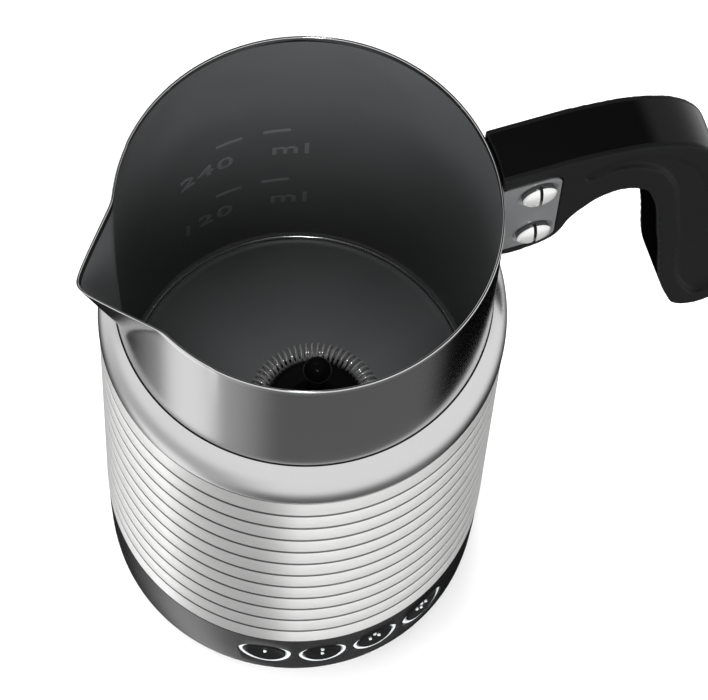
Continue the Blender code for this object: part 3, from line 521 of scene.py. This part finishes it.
def jug():
    """Drawn steel jug: satin outside, bright rim, dark coating inside with a ring round the floor."""
    spread, fine, rest = math.radians(32), 40, 200  # the spout's side is cut finer than the rest
    angles = [spread * i / fine for i in range(-fine, fine)]
    angles += [spread + (2 * math.pi - 2 * spread) * i / rest for i in range(rest)]
    under = FLOOR_Z - JUG_WALL
    edge = JUG_WALL / 2
    drops = [SPOUT_DROP * (i / 14) ** 1.1 for i in range(15)]
    # each row: radius, or None on the wall that carries the spout; height; distance inside the wall's
    # outer face; and finish
    rows = [(0.0, under, 0.0, 0), (JUG_R - 0.006, under, 0.0, 0)]
    bend, tall = 0.0034, 0.0070
    rows += [(r, z, 0.0, 0) for r, z in arc((JUG_R - bend, under + tall), bend, -90, 0, 10, height=tall)]
    rows += [(None, RIM_Z - d, 0.0, 0) for d in reversed(WALL_DEPTHS)]
    rows += [(None, RIM_Z - d, 0.0, 0) for d in reversed(drops[1:])]
    rows += [(None, RIM_Z - edge + edge * math.sin(a), edge - edge * math.cos(a), 1)
             for a in [math.pi * i / 8 for i in range(9)]]
    rows += [(None, RIM_Z - d, JUG_WALL, 2) for d in (*drops[1:], *WALL_DEPTHS)]
    low = FLOOR_Z
    bead = arc((INNER_R - 0.0009, low + 0.0003), 0.00034, 50, 175, 8)
    ring = [
        (INNER_R, low + 0.0072, 2),
        (INNER_R - 0.0001, low + 0.0050, 2),
        (INNER_R - 0.0002, low + 0.0032, 2),
        (INNER_R - 0.0003, low + 0.0018, 2),
        (INNER_R - 0.0005, low + 0.0008, 2),
        *[(r, z, 3) for r, z in bead],
        (INNER_R - 0.0013, low, 2),
        (INNER_R - 0.0030, low, 2),
        (INNER_R - 0.0060, low, 2),
        (0.030, low, 2),
        (0.0, low, 2),
    ]
    rows += [(r, z, 0.0, kind) for r, z, kind in ring]
    shape = bmesh.new()
    rings = []
    for r, z, inset, _ in rows:
        if r == 0.0:
            rings.append([shape.verts.new((0, 0, z))])
            continue
        made = []
        for angle in angles:
            wrapped = abs((angle + math.pi) % (2 * math.pi) - math.pi)
            rise = max(0.0, 1 - (RIM_Z - z) / SPOUT_DROP) if r is None else 0.0
            radius = spout_radius(wrapped, min(1.0, rise)) - inset if r is None else r
            turned_by = angle + SPOUT_TURN
            made.append(shape.verts.new((-radius * math.cos(turned_by), -radius * math.sin(turned_by), z)))
        rings.append(made)
    for k, (first, second) in enumerate(zip(rings, rings[1:])):
        kind = JUG_FINISHES[rows[k][3], rows[k + 1][3]]
        for face in strip(shape, first, second, len(angles)):
            face.material_index = kind
    mesh = meshed("jug_body", shape)
    mesh.shade_smooth()
    show("jug_body", mesh, [STEEL, RIM, COATING], "jug", replaced=["jug_shell"])


def bent_on_wall(mesh, azimuth, z, depth):
    """Bends a flat mesh, drawn in XY and facing +Z, onto the inside of the jug's wall."""
    for v in mesh.vertices:
        turn = math.radians(azimuth) - v.co.x / INNER_R
        r = INNER_R + 0.0001 - v.co.z * depth
        v.co = (r * math.cos(turn), r * math.sin(turn), z + v.co.y)
    mesh.update()
    return mesh


def sliced(mesh, count, pitch):
    """mesh with count cuts a pitch apart on each side of its middle, so that it can bend."""
    shape = bmesh.new()
    shape.from_mesh(mesh)
    bmesh.ops.remove_doubles(shape, verts=shape.verts, dist=0.000001)
    for i in range(-count, count + 1):
        everything = list(shape.verts) + list(shape.edges) + list(shape.faces)
        bmesh.ops.bisect_plane(shape, geom=everything, plane_co=(i * pitch, 0, 0), plane_no=(1, 0, 0))
    shape.to_mesh(mesh)
    shape.free()
    return mesh


def text_mesh(words, size):
    """Flat letters a unit thick, centred on the origin, cut fine enough to bend."""
    text = bpy.data.curves.new("mark", "FONT")
    text.body = words
    text.size = size
    text.align_x = "CENTER"
    text.space_character = 1.15
    text.extrude = 0.5
    text.offset = 0.00008
    text.resolution_u = 4
    mesh = evaluated("mark", text)
    mesh.transform(Matrix.Diagonal((1.25, 1, 1, 1)))
    return sliced(mesh, 16, 0.0008)


def level_marks():
    """Two stamped level lines inside the jug, each with its number and unit, in a lighter coating that is a
    painted highlight.
    """
    raised, letter_size, letter_drop = 0.00045, 0.0068, 0.0115
    for label, line_z in LEVELS:
        for side, azimuth in (("left", 96.3), ("right", 80.6)):
            bar = sliced(box_mesh((0.0062, 0.0010, 1), (0, 0, 0)), 3, 0.0009)
            show(f"level_line_{label}_{side}", crisp(bent_on_wall(bar, azimuth, line_z, raised)), MARK_PAINTED_HIGHLIGHT, "jug")
        for words, azimuth in ((label, 104.5), ("ml", 76.0)):
            mesh = bent_on_wall(text_mesh(words, letter_size), azimuth, line_z - letter_drop, raised)
            show(f"level_{label}_{'unit' if words == 'ml' else 'number'}", crisp(mesh), MARK_PAINTED_HIGHLIGHT, "jug")


# ---------------------------------------------------------------- handle
ROOT_X = 0.0405  # the root runs on to here before the jug's wall is cut from it
HANDLE_OUTLINE = (  # x, z and whether the outline turns a corner there
    (ROOT_X, 0.1283, True),
    (0.0482, 0.1282, False),
    (0.0542, 0.1305, False),
    (0.0585, 0.1387, False),
    (0.0664, 0.1445, False),
    (0.0733, 0.1421, False),
    (0.0770, 0.1345, False),
    (0.0803, 0.1137, False),
    (0.0861, 0.0785, False),
    (0.0900, 0.0715, False),
    (0.0985, 0.0708, False),
    (0.1035, 0.0765, False),
    (0.0995, 0.1070, False),
    (0.0940, 0.1345, False),
    (0.0875, 0.1522, False),
    (0.0774, 0.1604, False),
    (0.0628, 0.1643, False),
    (0.0500, 0.1648, False),
    (ROOT_X, 0.1648, True),
)
GRIP_SCOOP = (
    (0.0600, 0.1548, False),
    (0.0672, 0.1552, False),
    (0.0748, 0.1511, False),
    (0.0800, 0.1430, False),
    (0.0845, 0.1190, False),
    (0.0905, 0.0800, False),
    (0.0950, 0.0752, False),
    (0.0990, 0.0800, False),
    (0.0955, 0.1070, False),
    (0.0898, 0.1345, False),
    (0.0838, 0.1480, False),
    (0.0740, 0.1570, False),
    (0.0650, 0.1590, False),
)


def outline_mesh(points, half_depth, y=0.0, steps=12):
    """A flat outline in the XZ plane with depth along Y, from Bezier points or plain ones."""
    curve = bpy.data.curves.new("outline", "CURVE")
    curve.dimensions = "2D"
    curve.fill_mode = "BOTH"
    curve.extrude = half_depth
    curve.resolution_u = steps
    if len(points[0]) == 2:
        line = curve.splines.new("POLY")
        line.points.add(len(points) - 1)
        for spot, (x, z) in zip(line.points, points):
            spot.co = (x, z, 0, 1)
    else:
        line = curve.splines.new("BEZIER")
        line.bezier_points.add(len(points) - 1)
        for spot, (x, z, corner) in zip(line.bezier_points, points):
            spot.co = (x, z, 0)
            spot.handle_left_type = spot.handle_right_type = "VECTOR" if corner else "AUTO"
    line.use_cyclic_u = True
    mesh = evaluated("outline", curve)
    mesh.transform(Matrix.Translation((0, y, 0)) @ Matrix.Rotation(math.radians(90), 4, "X"))
    shape = bmesh.new()
    shape.from_mesh(mesh)
    bmesh.ops.remove_doubles(shape, verts=shape.verts, dist=0.000005)
    bmesh.ops.recalc_face_normals(shape, faces=shape.faces)
    shape.to_mesh(mesh)
    shape.free()
    return mesh


def bracket_outline(grow=0.0):
    """The side plate's outline, with round outer corners; grow is a gap all round it."""
    low_corner, high_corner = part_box("handle_bracket")
    end, low, high = high_corner.x - 0.0003 + grow, low_corner.z - grow, PLATE_TOP + grow
    r = 0.0030 + grow
    start = JUG_R + 0.0002 - 10 * grow
    return [
        (start, low),
        *arc((end - r, low + r), r, -90, 0, 10),
        *arc((end - r, high - r), r, 0, 90, 10),
        (start, high),
    ]


def handle():
    """Moulded handle with soft edges, a seat for the bracket and a recessed panel on each side."""
    gap, seat_depth, scoop_depth = 0.0003, 0.0013, 0.0010
    body = outline_mesh(HANDLE_OUTLINE, HANDLE_HALF)
    wall = rod_mesh(JUG_R + gap, (0, 0, 0.05), (0, 0, 0.2), 192)
    flange = rod_mesh(JUG_R + 0.0016, (0, 0, 0.05), (0, 0, PLATE_TOP + gap), 192)
    seat = outline_mesh(bracket_outline(gap), 0.003, y=-HANDLE_HALF + seat_depth - 0.003)
    bores = [rod_mesh(0.0023, (s.x, -0.02, s.z), (s.x, 0.003, s.z)) for s in SCREW_SPOTS.values()]
    scoops = [outline_mesh(GRIP_SCOOP, scoop_depth, y=side * HANDLE_HALF) for side in (-1, 1)]
    helpers = []

    def steps(helper):
        round_edges = helper.modifiers.new("round", "BEVEL")
        round_edges.width = 0.0016
        round_edges.segments = 5
        round_edges.limit_method = "ANGLE"
        round_edges.angle_limit = math.radians(50)
        helpers.extend(cut_by(helper, wall, flange, seat, *bores, *scoops))
        remesh = helper.modifiers.new("even", "REMESH")
        remesh.mode = "VOXEL"
        remesh.voxel_size = 0.00042
        remesh.use_smooth_shade = True
        smooth = helper.modifiers.new("melt", "SMOOTH")
        smooth.factor = 0.5
        smooth.iterations = 4

    mesh = evaluated("handle_body", body, steps)
    for helper in helpers:
        bpy.data.objects.remove(helper)
    mesh.shade_smooth()
    mesh.materials.clear()
    mesh.materials.append(GLOSS)
    mesh.materials.append(SATIN)
    for face in mesh.polygons:
        on_side = abs(face.normal.y) > 0.55 or abs(face.center.y) > HANDLE_HALF - 0.0009
        face.material_index = 1 if on_side else 0
    show("handle_body", mesh, None, "jug", replaced=["handle"])


def bracket():
    """Steel side plate with dished holes, and its curved flange on the jug's wall."""
    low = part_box("handle_bracket")[0].z
    front = -HANDLE_HALF
    plate = outline_mesh(bracket_outline(), PLATE_THICK / 2, y=front + PLATE_THICK / 2)
    cutters = []
    for spot in SCREW_SPOTS.values():
        dish = (spot.x, front - 0.0004, spot.z), (spot.x, front + 0.0006, spot.z)
        cutters.append(rod_mesh(0.0022, (spot.x, -0.02, spot.z), (spot.x, 0, spot.z)))
        cutters.append(rod_mesh(0.0052, *dish, 64, 0.0040))
    mesh = drilled("bracket_plate", plate, cutters, rounded=0.00016)
    show("bracket_plate", mesh, PLATE, "jug", replaced=["handle_bracket"])
    inner, outer = JUG_R + 0.0003, JUG_R + 0.0013
    section = ((inner, low), (outer, low), (outer, PLATE_TOP), (inner, PLATE_TOP))
    half, rows = math.asin(HANDLE_HALF / outer), 24
    shape = bmesh.new()
    grid = []
    for i in range(rows + 1):
        turn = -half + 2 * half * i / rows
        grid.append([shape.verts.new((r * math.cos(turn), r * math.sin(turn), z)) for r, z in section])
    for first, second in zip(grid, grid[1:]):
        strip(shape, first, second, 4)
    shape.faces.new(grid[0])
    shape.faces.new(list(reversed(grid[-1])))
    flange = crisp(meshed("bracket_flange", shape))
    show("bracket_flange", flange, PLATE, "jug")


def handle_screws():
    """Slotted screws with an upright side and a low domed face; the side and the slot take a darker chrome,
    painted shade.
    """
    dome, head, side_height = 0.0020, 0.0038, 0.0011
    shank, length, edge = 0.0018, 0.0085, 0.0001
    for side, spot in SCREW_SPOTS.items():
        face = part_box(f"handle_screw_{side}")[0].y + dome
        profile = [(0, length), (shank, length), (shank, 0), (head, 0), (head, -side_height)]
        profile += [((head - edge) * math.cos(a), -side_height - (dome - side_height) * math.sin(a))
                    for a in [math.radians(6 * i) for i in range(1, 15)]]
        profile.append((0, -dome))
        mesh = revolved("screw", profile, 96, 35)
        place = Matrix.Translation((spot.x, face, spot.z)) @ Matrix.Rotation(math.radians(-90), 4, "X")
        mesh.transform(place)
        slot = box_mesh((0.0007, 0.0034, 0.012), (spot.x, face - dome - 0.0001, spot.z))
        name = f"bracket_screw_{side}"
        mesh = drilled(name, mesh, [slot])
        mesh.materials.clear()
        mesh.materials.append(SCREW)
        mesh.materials.append(SCREW_SIDE_PAINTED_SHADE)
        # only the dome's faces keep the bright chrome; the side and slot take the painted shade
        for facet in mesh.polygons:
            domed = facet.normal.y < -0.3 and facet.center.y < face - side_height
            facet.material_index = 0 if domed else 1
        show(name, mesh, None, "jug", replaced=[f"handle_screw_{side}"])


# ---------------------------------------------------------------- whisk
def whisk():
    """Glossy hub and knob, and a ring of fine coiled wire round the hub."""
    at = (WHISK.x, WHISK.y, 0)
    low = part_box("whisk_body")[0].z
    top = WHISK.z - KNOB_R + 0.0006
    disc = 0.0113
    profile = softened(
        [
            (0.0029, low + 0.0056),
            (0.0029, low),
            (0.0140, low),
            (0.0140, low + 0.0008),
            (disc, low + 0.0010),
            (disc, low + 0.0038),
            (disc - 0.0010, low + 0.0043),
            (0.0062, low + 0.0046),
            (0.0044, low + 0.0072),
            (0.0024, low + 0.0120),
            (0.0018, top),
        ],
        0.0006,
        4,
        closed=False,
    )
    hub = revolved("whisk_hub", [(0, low + 0.0056), *profile, (0, top)], 96)
    show("whisk_hub", hub, GLOSS, "whisk", at, ["whisk_body"])
    ball = [(KNOB_R * math.cos(a), WHISK.z + KNOB_R * math.sin(a)) for a in
            [math.radians(-90 + 7.5 * i) for i in range(1, 24)]]
    knob = revolved("whisk_ball", [(0, WHISK.z - KNOB_R), *ball, (0, WHISK.z + KNOB_R)], 64, 60)
    show("whisk_ball", knob, GLOSS, "whisk", at, ["whisk_knob"])
    turns, per_turn, sides, wire = 68, 18, 8, 0.00031
    minor = 0.0020
    major = COIL_OUTER + 0.0001 - minor
    shape = bmesh.new()
    rings = []
    total = turns * per_turn
    up = Vector((0, 0, 1))
    for i in range(total):
        around = 2 * math.pi * i / total
        roll = 2 * math.pi * i / per_turn
        out = Vector((math.cos(around), math.sin(around), 0))
        side = out * math.cos(roll) + up * math.sin(roll)
        centre = out * major + side * minor
        along = Vector((-out.y, out.x, 0)) * (2 * math.pi * (major + minor * math.cos(roll)) / total)
        turning = (-out * math.sin(roll) + up * math.cos(roll)) * (2 * math.pi * minor / per_turn)
        ahead = (along + turning).normalized()
        across = ahead.cross(side).normalized()
        rings.append([
            shape.verts.new(centre + (side * math.cos(a) + across * math.sin(a)) * wire)
            for a in [2 * math.pi * k / sides for k in range(sides)]
        ])
    for first, second in zip(rings, rings[1:] + rings[:1]):
        strip(shape, first, second, sides)
    mesh = meshed("whisk_wire_coil", shape)
    mesh.shade_smooth()
    show("whisk_wire_coil", mesh, WIRE, "whisk", (WHISK.x, WHISK.y, COIL_Z), ["whisk_coil"])


# ---------------------------------------------------------------- base
def sleeve():
    """Bright sleeve of flat bands with soft edges and a groove between each two, whose faces are darkened as
    painted shade.
    """
    pitch = (SLEEVE_TOP - SLEEVE_LOW) / BANDS
    bore, groove, half, lip, soft = 0.0433, 0.0008, 0.00055, 0.00025, 0.00008
    profile = [(bore, SLEEVE_TOP), (BODY_R - 0.0005, SLEEVE_TOP), (BODY_R - 0.0001, SLEEVE_TOP - 0.0004)]
    for i in range(1, BANDS):
        z = SLEEVE_TOP - pitch * i
        profile += [
            (BODY_R, z + half + lip),
            (BODY_R - soft, z + half),
            (BODY_R - groove, z + half),
            (BODY_R - groove, z - half),
            (BODY_R - soft, z - half),
            (BODY_R, z - half - lip),
        ]
    profile += [(BODY_R - 0.0001, SLEEVE_LOW + 0.0003), (BODY_R - 0.0004, SLEEVE_LOW), (bore, SLEEVE_LOW)]
    mesh = revolved("band_sleeve", profile, 256, 25)
    mesh.materials.append(SLEEVE)
    mesh.materials.append(GROOVE_PAINTED_SHADE)
    # faces deep in the grooves take the darker copy: painted shade
    for face in mesh.polygons:
        if math.hypot(face.center.x, face.center.y) < BODY_R - 0.0003:
            face.material_index = 1
    show("band_sleeve", mesh, None, "base", replaced=["ribbed_sleeve"])


def collar():
    """Polished ring whose shoulder curves down from the jug to the sleeve."""
    inner, top, shelf = JUG_R + 0.00012, COLLAR_TOP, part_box("jug_well")[1].z + 0.0004
    start = inner + 0.0001
    spread, drop, steps, bore = BODY_R + 0.0002 - start, 0.0115, 24, 0.0431
    shoulder = [(start + spread * (1 - (1 - i / steps) ** 2), top - 0.0002 - drop * i / steps)
                for i in range(steps + 1)]
    profile = [
        (inner, shelf),
        (inner, top - 0.0004),
        *shoulder,
        *arc((BODY_R - 0.0004, COLLAR_LOW + 0.0010), 0.0006, 0, -70, 5, height=0.0008),
        (BODY_R - 0.0010, COLLAR_LOW),
        (bore, COLLAR_LOW),
        (bore, shelf),
    ]
    show("collar_ring", revolved("collar_ring", profile, 256, 40), COLLAR, "base", replaced=["collar"])


def well():
    """Liner cup that the jug stands in."""
    low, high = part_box("jug_well")
    floor = FLOOR_Z - 0.0024
    profile = [
        (0, floor),
        (0.0395, floor),
        *arc((0.0401, floor + 0.0015), 0.0015, -90, 0, 6),
        (0.0416, high.z),
        (0.0428, high.z),
        (0.0428, low.z),
        (0.0416, low.z),
        (0.0416, floor - 0.0014),
        (0, floor - 0.0014),
    ]
    sensor = middle("temperature_sensor")
    hole = rod_mesh(0.0033, (sensor.x, sensor.y, floor - 0.005), (sensor.x, sensor.y, floor + 0.005))
    mesh = drilled("well_liner", revolved("well_liner", profile, 160), [hole], rounded=0.0002)
    show("well_liner", mesh, WELL, "base", replaced=["jug_well"])


def housing():
    """Glossy black ring under the sleeve, with its button and lead holes."""
    top = SLEEVE_LOW - 0.0003
    profile = [
        (0.0415, top + 0.006),
        (0.0430, top + 0.006),
        (0.0430, top),
        (BODY_R - 0.0006, top),
        (BODY_R - 0.0002, top - 0.0005),
        (BODY_R - 0.0003, 0.014),
        (0.0439, 0.005),
        *arc((0.0415, 0.0028), 0.0022, 0, -90, 8),
        (0.0411, 0.0006),
        (0.0411, 0.0046),
        (0.0415, 0.0056),
    ]
    holes = []
    for label in BUTTONS:
        spot = middle(f"button_{label}")
        holes.append(rod_mesh(0.0059, (spot.x, -0.050, spot.z), (spot.x, -0.030, spot.z), 64))
    lead_z = middle("cable_gland").z
    holes.append(rod_mesh(0.0049, (0, 0.034, lead_z), (0, 0.050, lead_z), 64))
    mesh = drilled("housing_ring", revolved("housing_ring", profile, 192), holes, rounded=0.00015)
    show("housing_ring", mesh, HOUSING, "base", replaced=["lower_housing"])


def under_parts():
    """Bottom cover with its screw holes, and the ringed rubber pad."""
    profile = softened(
        [(0.0405, 0.0042), (0.0405, 0.0012), (0.0303, 0.0012), (0.0303, 0.0020)], 0.0002, 2, closed=False
    )
    holes = []
    for i in (1, 2, 3, 4):
        spot = middle(f"cover_screw_{i}")
        holes.append(rod_mesh(0.0031, (spot.x, spot.y, 0), (spot.x, spot.y, 0.0025)))
        holes.append(rod_mesh(0.0016, (spot.x, spot.y, 0), (spot.x, spot.y, 0.006)))
    disc = revolved("cover_disc", [(0, 0.0042), *profile, (0, 0.0020)], 160)
    mesh = drilled("cover_disc", disc, holes, rounded=0.0001)
    show("cover_disc", mesh, SATIN, "base", replaced=["bottom_cover"])
    outline = [(0.0, 0.0017), (0.0300, 0.0017), (0.0300, 0.0004), (0.0296, 0.0)]
    for r in (0.0270, 0.0240, 0.0210, 0.0180):
        outline += [(r + 0.0006, 0), (r + 0.0003, 0.0006), (r - 0.0003, 0.0006), (r - 0.0006, 0)]
    outline.append((0.0, 0.0))
    pad = revolved("pad_disc", outline, 128)
    show("pad_disc", pad, RUBBER, "base", replaced=["base_pad"])


def controls():
    """Button caps with a dished face and raised dots, each in a frosted ring."""
    for count, label in enumerate(BUTTONS, 1):
        low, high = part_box(f"button_{label}")
        x, z = (low.x + high.x) / 2, (low.z + high.z) / 2
        r = (high.x - low.x) / 2
        face_r = BODY_R - 0.0004

        def front(dx, back=0.0):
            return -math.sqrt((face_r - back) ** 2 - (x + dx) ** 2)

        cap = cap_mesh(x, z, r, front, high.y)
        show(f"button_cap_{label}", cap, SATIN, f"button_{label}", replaced=[f"button_{label}"])
        for k, (dx, dz) in enumerate(dot_spots(count), 1):
            y = front(dx)
            dot = crisp(rod_mesh(0.00038, (x + dx, y + 0.0009, z + dz), (x + dx, y + 0.0004, z + dz), 24))
            show(f"button_dot_{label}_{k}", dot, LENS, f"button_{label}")
        ring_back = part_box(f"light_ring_{label}")[1].y
        ring = ring_mesh(x, z, r + 0.0003, r + 0.0011, lambda dx: front(dx, 0.0003), ring_back)
        show(f"lit_ring_{label}", ring, LENS, "base", replaced=[f"light_ring_{label}"])


def dot_spots(count):
    """Places of one to four dots about a button's middle."""
    if count == 1:
        return [(0, 0)]
    turns = [2 * math.pi * i / count for i in range(count)]
    return [(0.0013 * math.sin(a), 0.0013 * math.cos(a)) for a in turns]


def cap_mesh(x, z, r, front, back_y):
    """A round cap whose face follows the housing, dished in its middle, with a soft edge."""
    shape = bmesh.new()
    sides = 64
    rings = []
    steps = [(0.15, 0.0008), (0.4, 0.00075), (0.6, 0.0006), (0.78, 0.00025)]  # share of r, and depth
    steps += [(0.9, 0.0), (0.97, 0.0002), (1.0, 0.0006)]
    centre = shape.verts.new((x, front(0) + 0.0008, z))
    for share, sink in steps:
        ring = []
        for k in range(sides):
            a = 2 * math.pi * k / sides
            dx, dz = r * share * math.cos(a), r * share * math.sin(a)
            ring.append(shape.verts.new((x + dx, front(dx) + sink, z + dz)))
        rings.append(ring)
    rings.append([shape.verts.new((v.co.x, back_y, v.co.z)) for v in rings[-1]])
    for k in range(sides):
        shape.faces.new((centre, rings[0][k], rings[0][(k + 1) % sides]))
    for first, second in zip(rings, rings[1:]):
        strip(shape, first, second, sides)
    shape.faces.new(rings[-1])
    return crisp(meshed("cap", shape), 40)


def ring_mesh(x, z, inner, outer, front, back_y):
    """A flat ring whose face follows the housing."""
    soft = 0.0001
    section = [(inner, None), (inner, soft), (inner + soft, 0.0)]  # radius, and depth or None at the back
    section += [(outer - soft, 0.0), (outer, soft), (outer, None)]
    shape = bmesh.new()
    sides = 64
    grid = []
    for k in range(sides):
        a = 2 * math.pi * k / sides
        row = []
        for r, sink in section:
            dx, dz = r * math.cos(a), r * math.sin(a)
            y = back_y if sink is None else front(dx) + sink
            row.append(shape.verts.new((x + dx, y, z + dz)))
        grid.append(row)
    for first, second in zip(grid, grid[1:] + grid[:1]):
        strip(shape, first, second, len(section))
    return crisp(meshed("ring", shape), 40)


def gland():
    """Rubber grommet for the lead."""
    profile = softened(
        [
            (0.0033, 0.0385),
            (0.0060, 0.0385),
            (0.0060, 0.0400),
            (0.0045, 0.0408),
            (0.0045, 0.0446),
            (0.0058, 0.0449),
            (0.0055, 0.0463),
            (0.0033, 0.0466),
        ],
        0.0003,
    )
    mesh = revolved("lead_grommet", profile, 64)
    lead_z = middle("cable_gland").z
    mesh.transform(Matrix.Translation((0, 0, lead_z)) @ Matrix.Rotation(math.radians(-90), 4, "X"))
    show("lead_grommet", mesh, RUBBER, "base", replaced=["cable_gland"])


# ---------------------------------------------------------------- stage
CAMERA_TURN = math.radians(20.5)  # from the handle's plane to the view's
YAW, PITCH, ROLL = math.radians(1.86), math.radians(66.27), math.radians(4.74)
CAMERA_BACK, CAMERA_RISE = 0.3658, 0.7622  # from the rim's middle
LENS_SHARE = 5.768  # focal length over the picture's width
FRONT = -110.5  # azimuth that faces the camera, in degrees
BRIGHT_SIDE = -181
BELOW = (  # brightness of the surround's lower part: azimuth, inner and outer half width, and amount
    (BRIGHT_SIDE, 0, 26, 0.55),
    (BRIGHT_SIDE, 0, 62, 0.30),
    (FRONT, 80, 106, 0.125),
)
BELOW_EDGE = (-0.88, -0.66)  # heights between which the lower part gives way to the sky
SKY = 0.86
TOP_PANEL = (FRONT + 160, 75, 42, 58, 0.84)  # azimuth, elevation, inner and outer half width, and depth
PANEL_FOOT = (-0.48, -0.28)  # heights between which the side panels fade in
SHADE = (-173, 20, 60, 0.45)  # soft dark band: azimuth, inner and outer half width, and depth
SHADE_FOOT, SHADE_HEAD = (-0.82, -0.72), (-0.60, -0.40)
SIDE_PANELS = (  # tall dark panels behind the object: azimuth, inner and outer half width, and depth
    (70, 12, 40, 0.66),
    (8, 2, 18, 0.45),
    (140, 2, 20, 0.45),
)
LIGHT_DISTANCE = 1.5
SOFT_LIGHTS = (  # name, azimuth, elevation, size and power
    ("key", 178, 12, 0.8, 9),
    ("front", -105, 36, 0.8, 21),
    ("top", 92, 73, 0.9, 30),
)


def camera():
    """Long lens, looking steeply down from the front left."""
    data = bpy.data.cameras.new("camera")
    data.sensor_width = 36
    data.lens = LENS_SHARE * data.sensor_width
    data.clip_start, data.clip_end = 0.05, 20
    made = bpy.data.objects.new("camera", data)
    bpy.context.scene.collection.objects.link(made)
    forward = Vector((math.sin(YAW) * math.cos(PITCH), math.cos(YAW) * math.cos(PITCH), -math.sin(PITCH)))
    right = Vector((math.cos(YAW), -math.sin(YAW), 0))
    up = right.cross(forward)
    turned_right = right * math.cos(ROLL) + up * math.sin(ROLL)
    turned_up = up * math.cos(ROLL) - right * math.sin(ROLL)
    look = Matrix((turned_right, turned_up, -forward)).transposed().to_4x4()
    spot = Matrix.Rotation(-CAMERA_TURN, 4, "Z") @ Matrix.Translation((0, -CAMERA_BACK, CAMERA_RISE))
    made.matrix_world = Matrix.Translation((0, 0, RIM_Z)) @ spot @ look
    bpy.context.scene.camera = made


def floor():
    """Wide pale floor."""
    shape = bmesh.new()
    bmesh.ops.create_circle(shape, cap_ends=True, segments=96, radius=3.0)
    made = meshed("floor", shape, outward=False)
    piece = bpy.data.objects.new("floor", made)
    bpy.context.scene.collection.objects.link(piece)
    piece.location.z = -0.0002
    made.materials.append(new_material("floor", (0.93, 0.93, 0.93), 0.8)[0])
    piece.visible_glossy = False


def light(name, azimuth, elevation, distance, size, power):
    """Square area light that looks at the object's middle."""
    data = bpy.data.lights.new(name, "AREA")
    data.shape = "RECTANGLE"
    data.size = data.size_y = size
    data.energy = power
    made = bpy.data.objects.new(name, data)
    bpy.context.scene.collection.objects.link(made)
    away = direction(azimuth, elevation)
    made.location = Vector((0, 0, 0.1)) + away * distance
    made.rotation_euler = away.to_track_quat("Z", "Y").to_euler()
    return made


def world():
    """Studio surround for the metal to reflect: pale, with dark panels over and behind the jug.

    Low down it is bright on one side, mid grey in front and dark on the other side, and a soft dark band
    lies over the bright side where it meets the sky.
    """
    made = bpy.data.worlds.new("studio")
    bpy.context.scene.world = made
    made.use_nodes = True
    tree = made.node_tree
    ahead = tree.nodes.new("ShaderNodeTexCoord").outputs["Generated"]
    side = level(tree, ahead)
    apart = tree.nodes.new("ShaderNodeSeparateXYZ")
    tree.links.new(ahead, apart.inputs[0])
    height = apart.outputs["Z"]

    def combine(operation, first, second):
        return math_node(tree, "ShaderNodeMath", operation, first, second).outputs[0]

    def upright(azimuth, *shape):
        return lobe(tree, side, direction(azimuth), *shape)

    below = upright(*BELOW[0])
    for part in BELOW[1:]:
        below = combine("ADD", below, upright(*part))
    panels = lobe(tree, ahead, direction(*TOP_PANEL[:2]), *TOP_PANEL[2:])
    risen = stepped(tree, height, *PANEL_FOOT, 0, 1)
    for panel in SIDE_PANELS:
        panels = combine("MAXIMUM", panels, combine("MULTIPLY", risen, upright(*panel)))
    mix = tree.nodes.new("ShaderNodeMix")
    tree.links.new(stepped(tree, height, *BELOW_EDGE, 0, 1), mix.inputs["Factor"])
    tree.links.new(below, mix.inputs["A"])
    tree.links.new(combine("SUBTRACT", SKY, panels), mix.inputs["B"])
    foot, head = stepped(tree, height, *SHADE_FOOT, 0, 1), stepped(tree, height, *SHADE_HEAD, 1, 0)
    kept = combine("SUBTRACT", 1, combine("MULTIPLY", combine("MULTIPLY", foot, head), upright(*SHADE)))
    background = tree.nodes["Background"]
    background.inputs["Color"].default_value = (1, 1, 1, 1)
    tree.links.new(combine("MULTIPLY", mix.outputs["Result"], kept), background.inputs["Strength"])


def stage():
    """Camera, floor and soft lights."""
    camera()
    floor()
    world()
    for name, azimuth, elevation, size, power in SOFT_LIGHTS:
        light(name, azimuth, elevation, LIGHT_DISTANCE, size, power).visible_glossy = False
    light("glint", -108, 66, 1.3, 0.08, 2.2)
    bpy.context.scene.view_settings.view_transform = "Standard"


stage()
paint_cad_nodes()
jug()
level_marks()
handle()
bracket()
handle_screws()
whisk()
sleeve()
collar()
well()
housing()
under_parts()
controls()
gland()

bpy.context.view_layer.update()
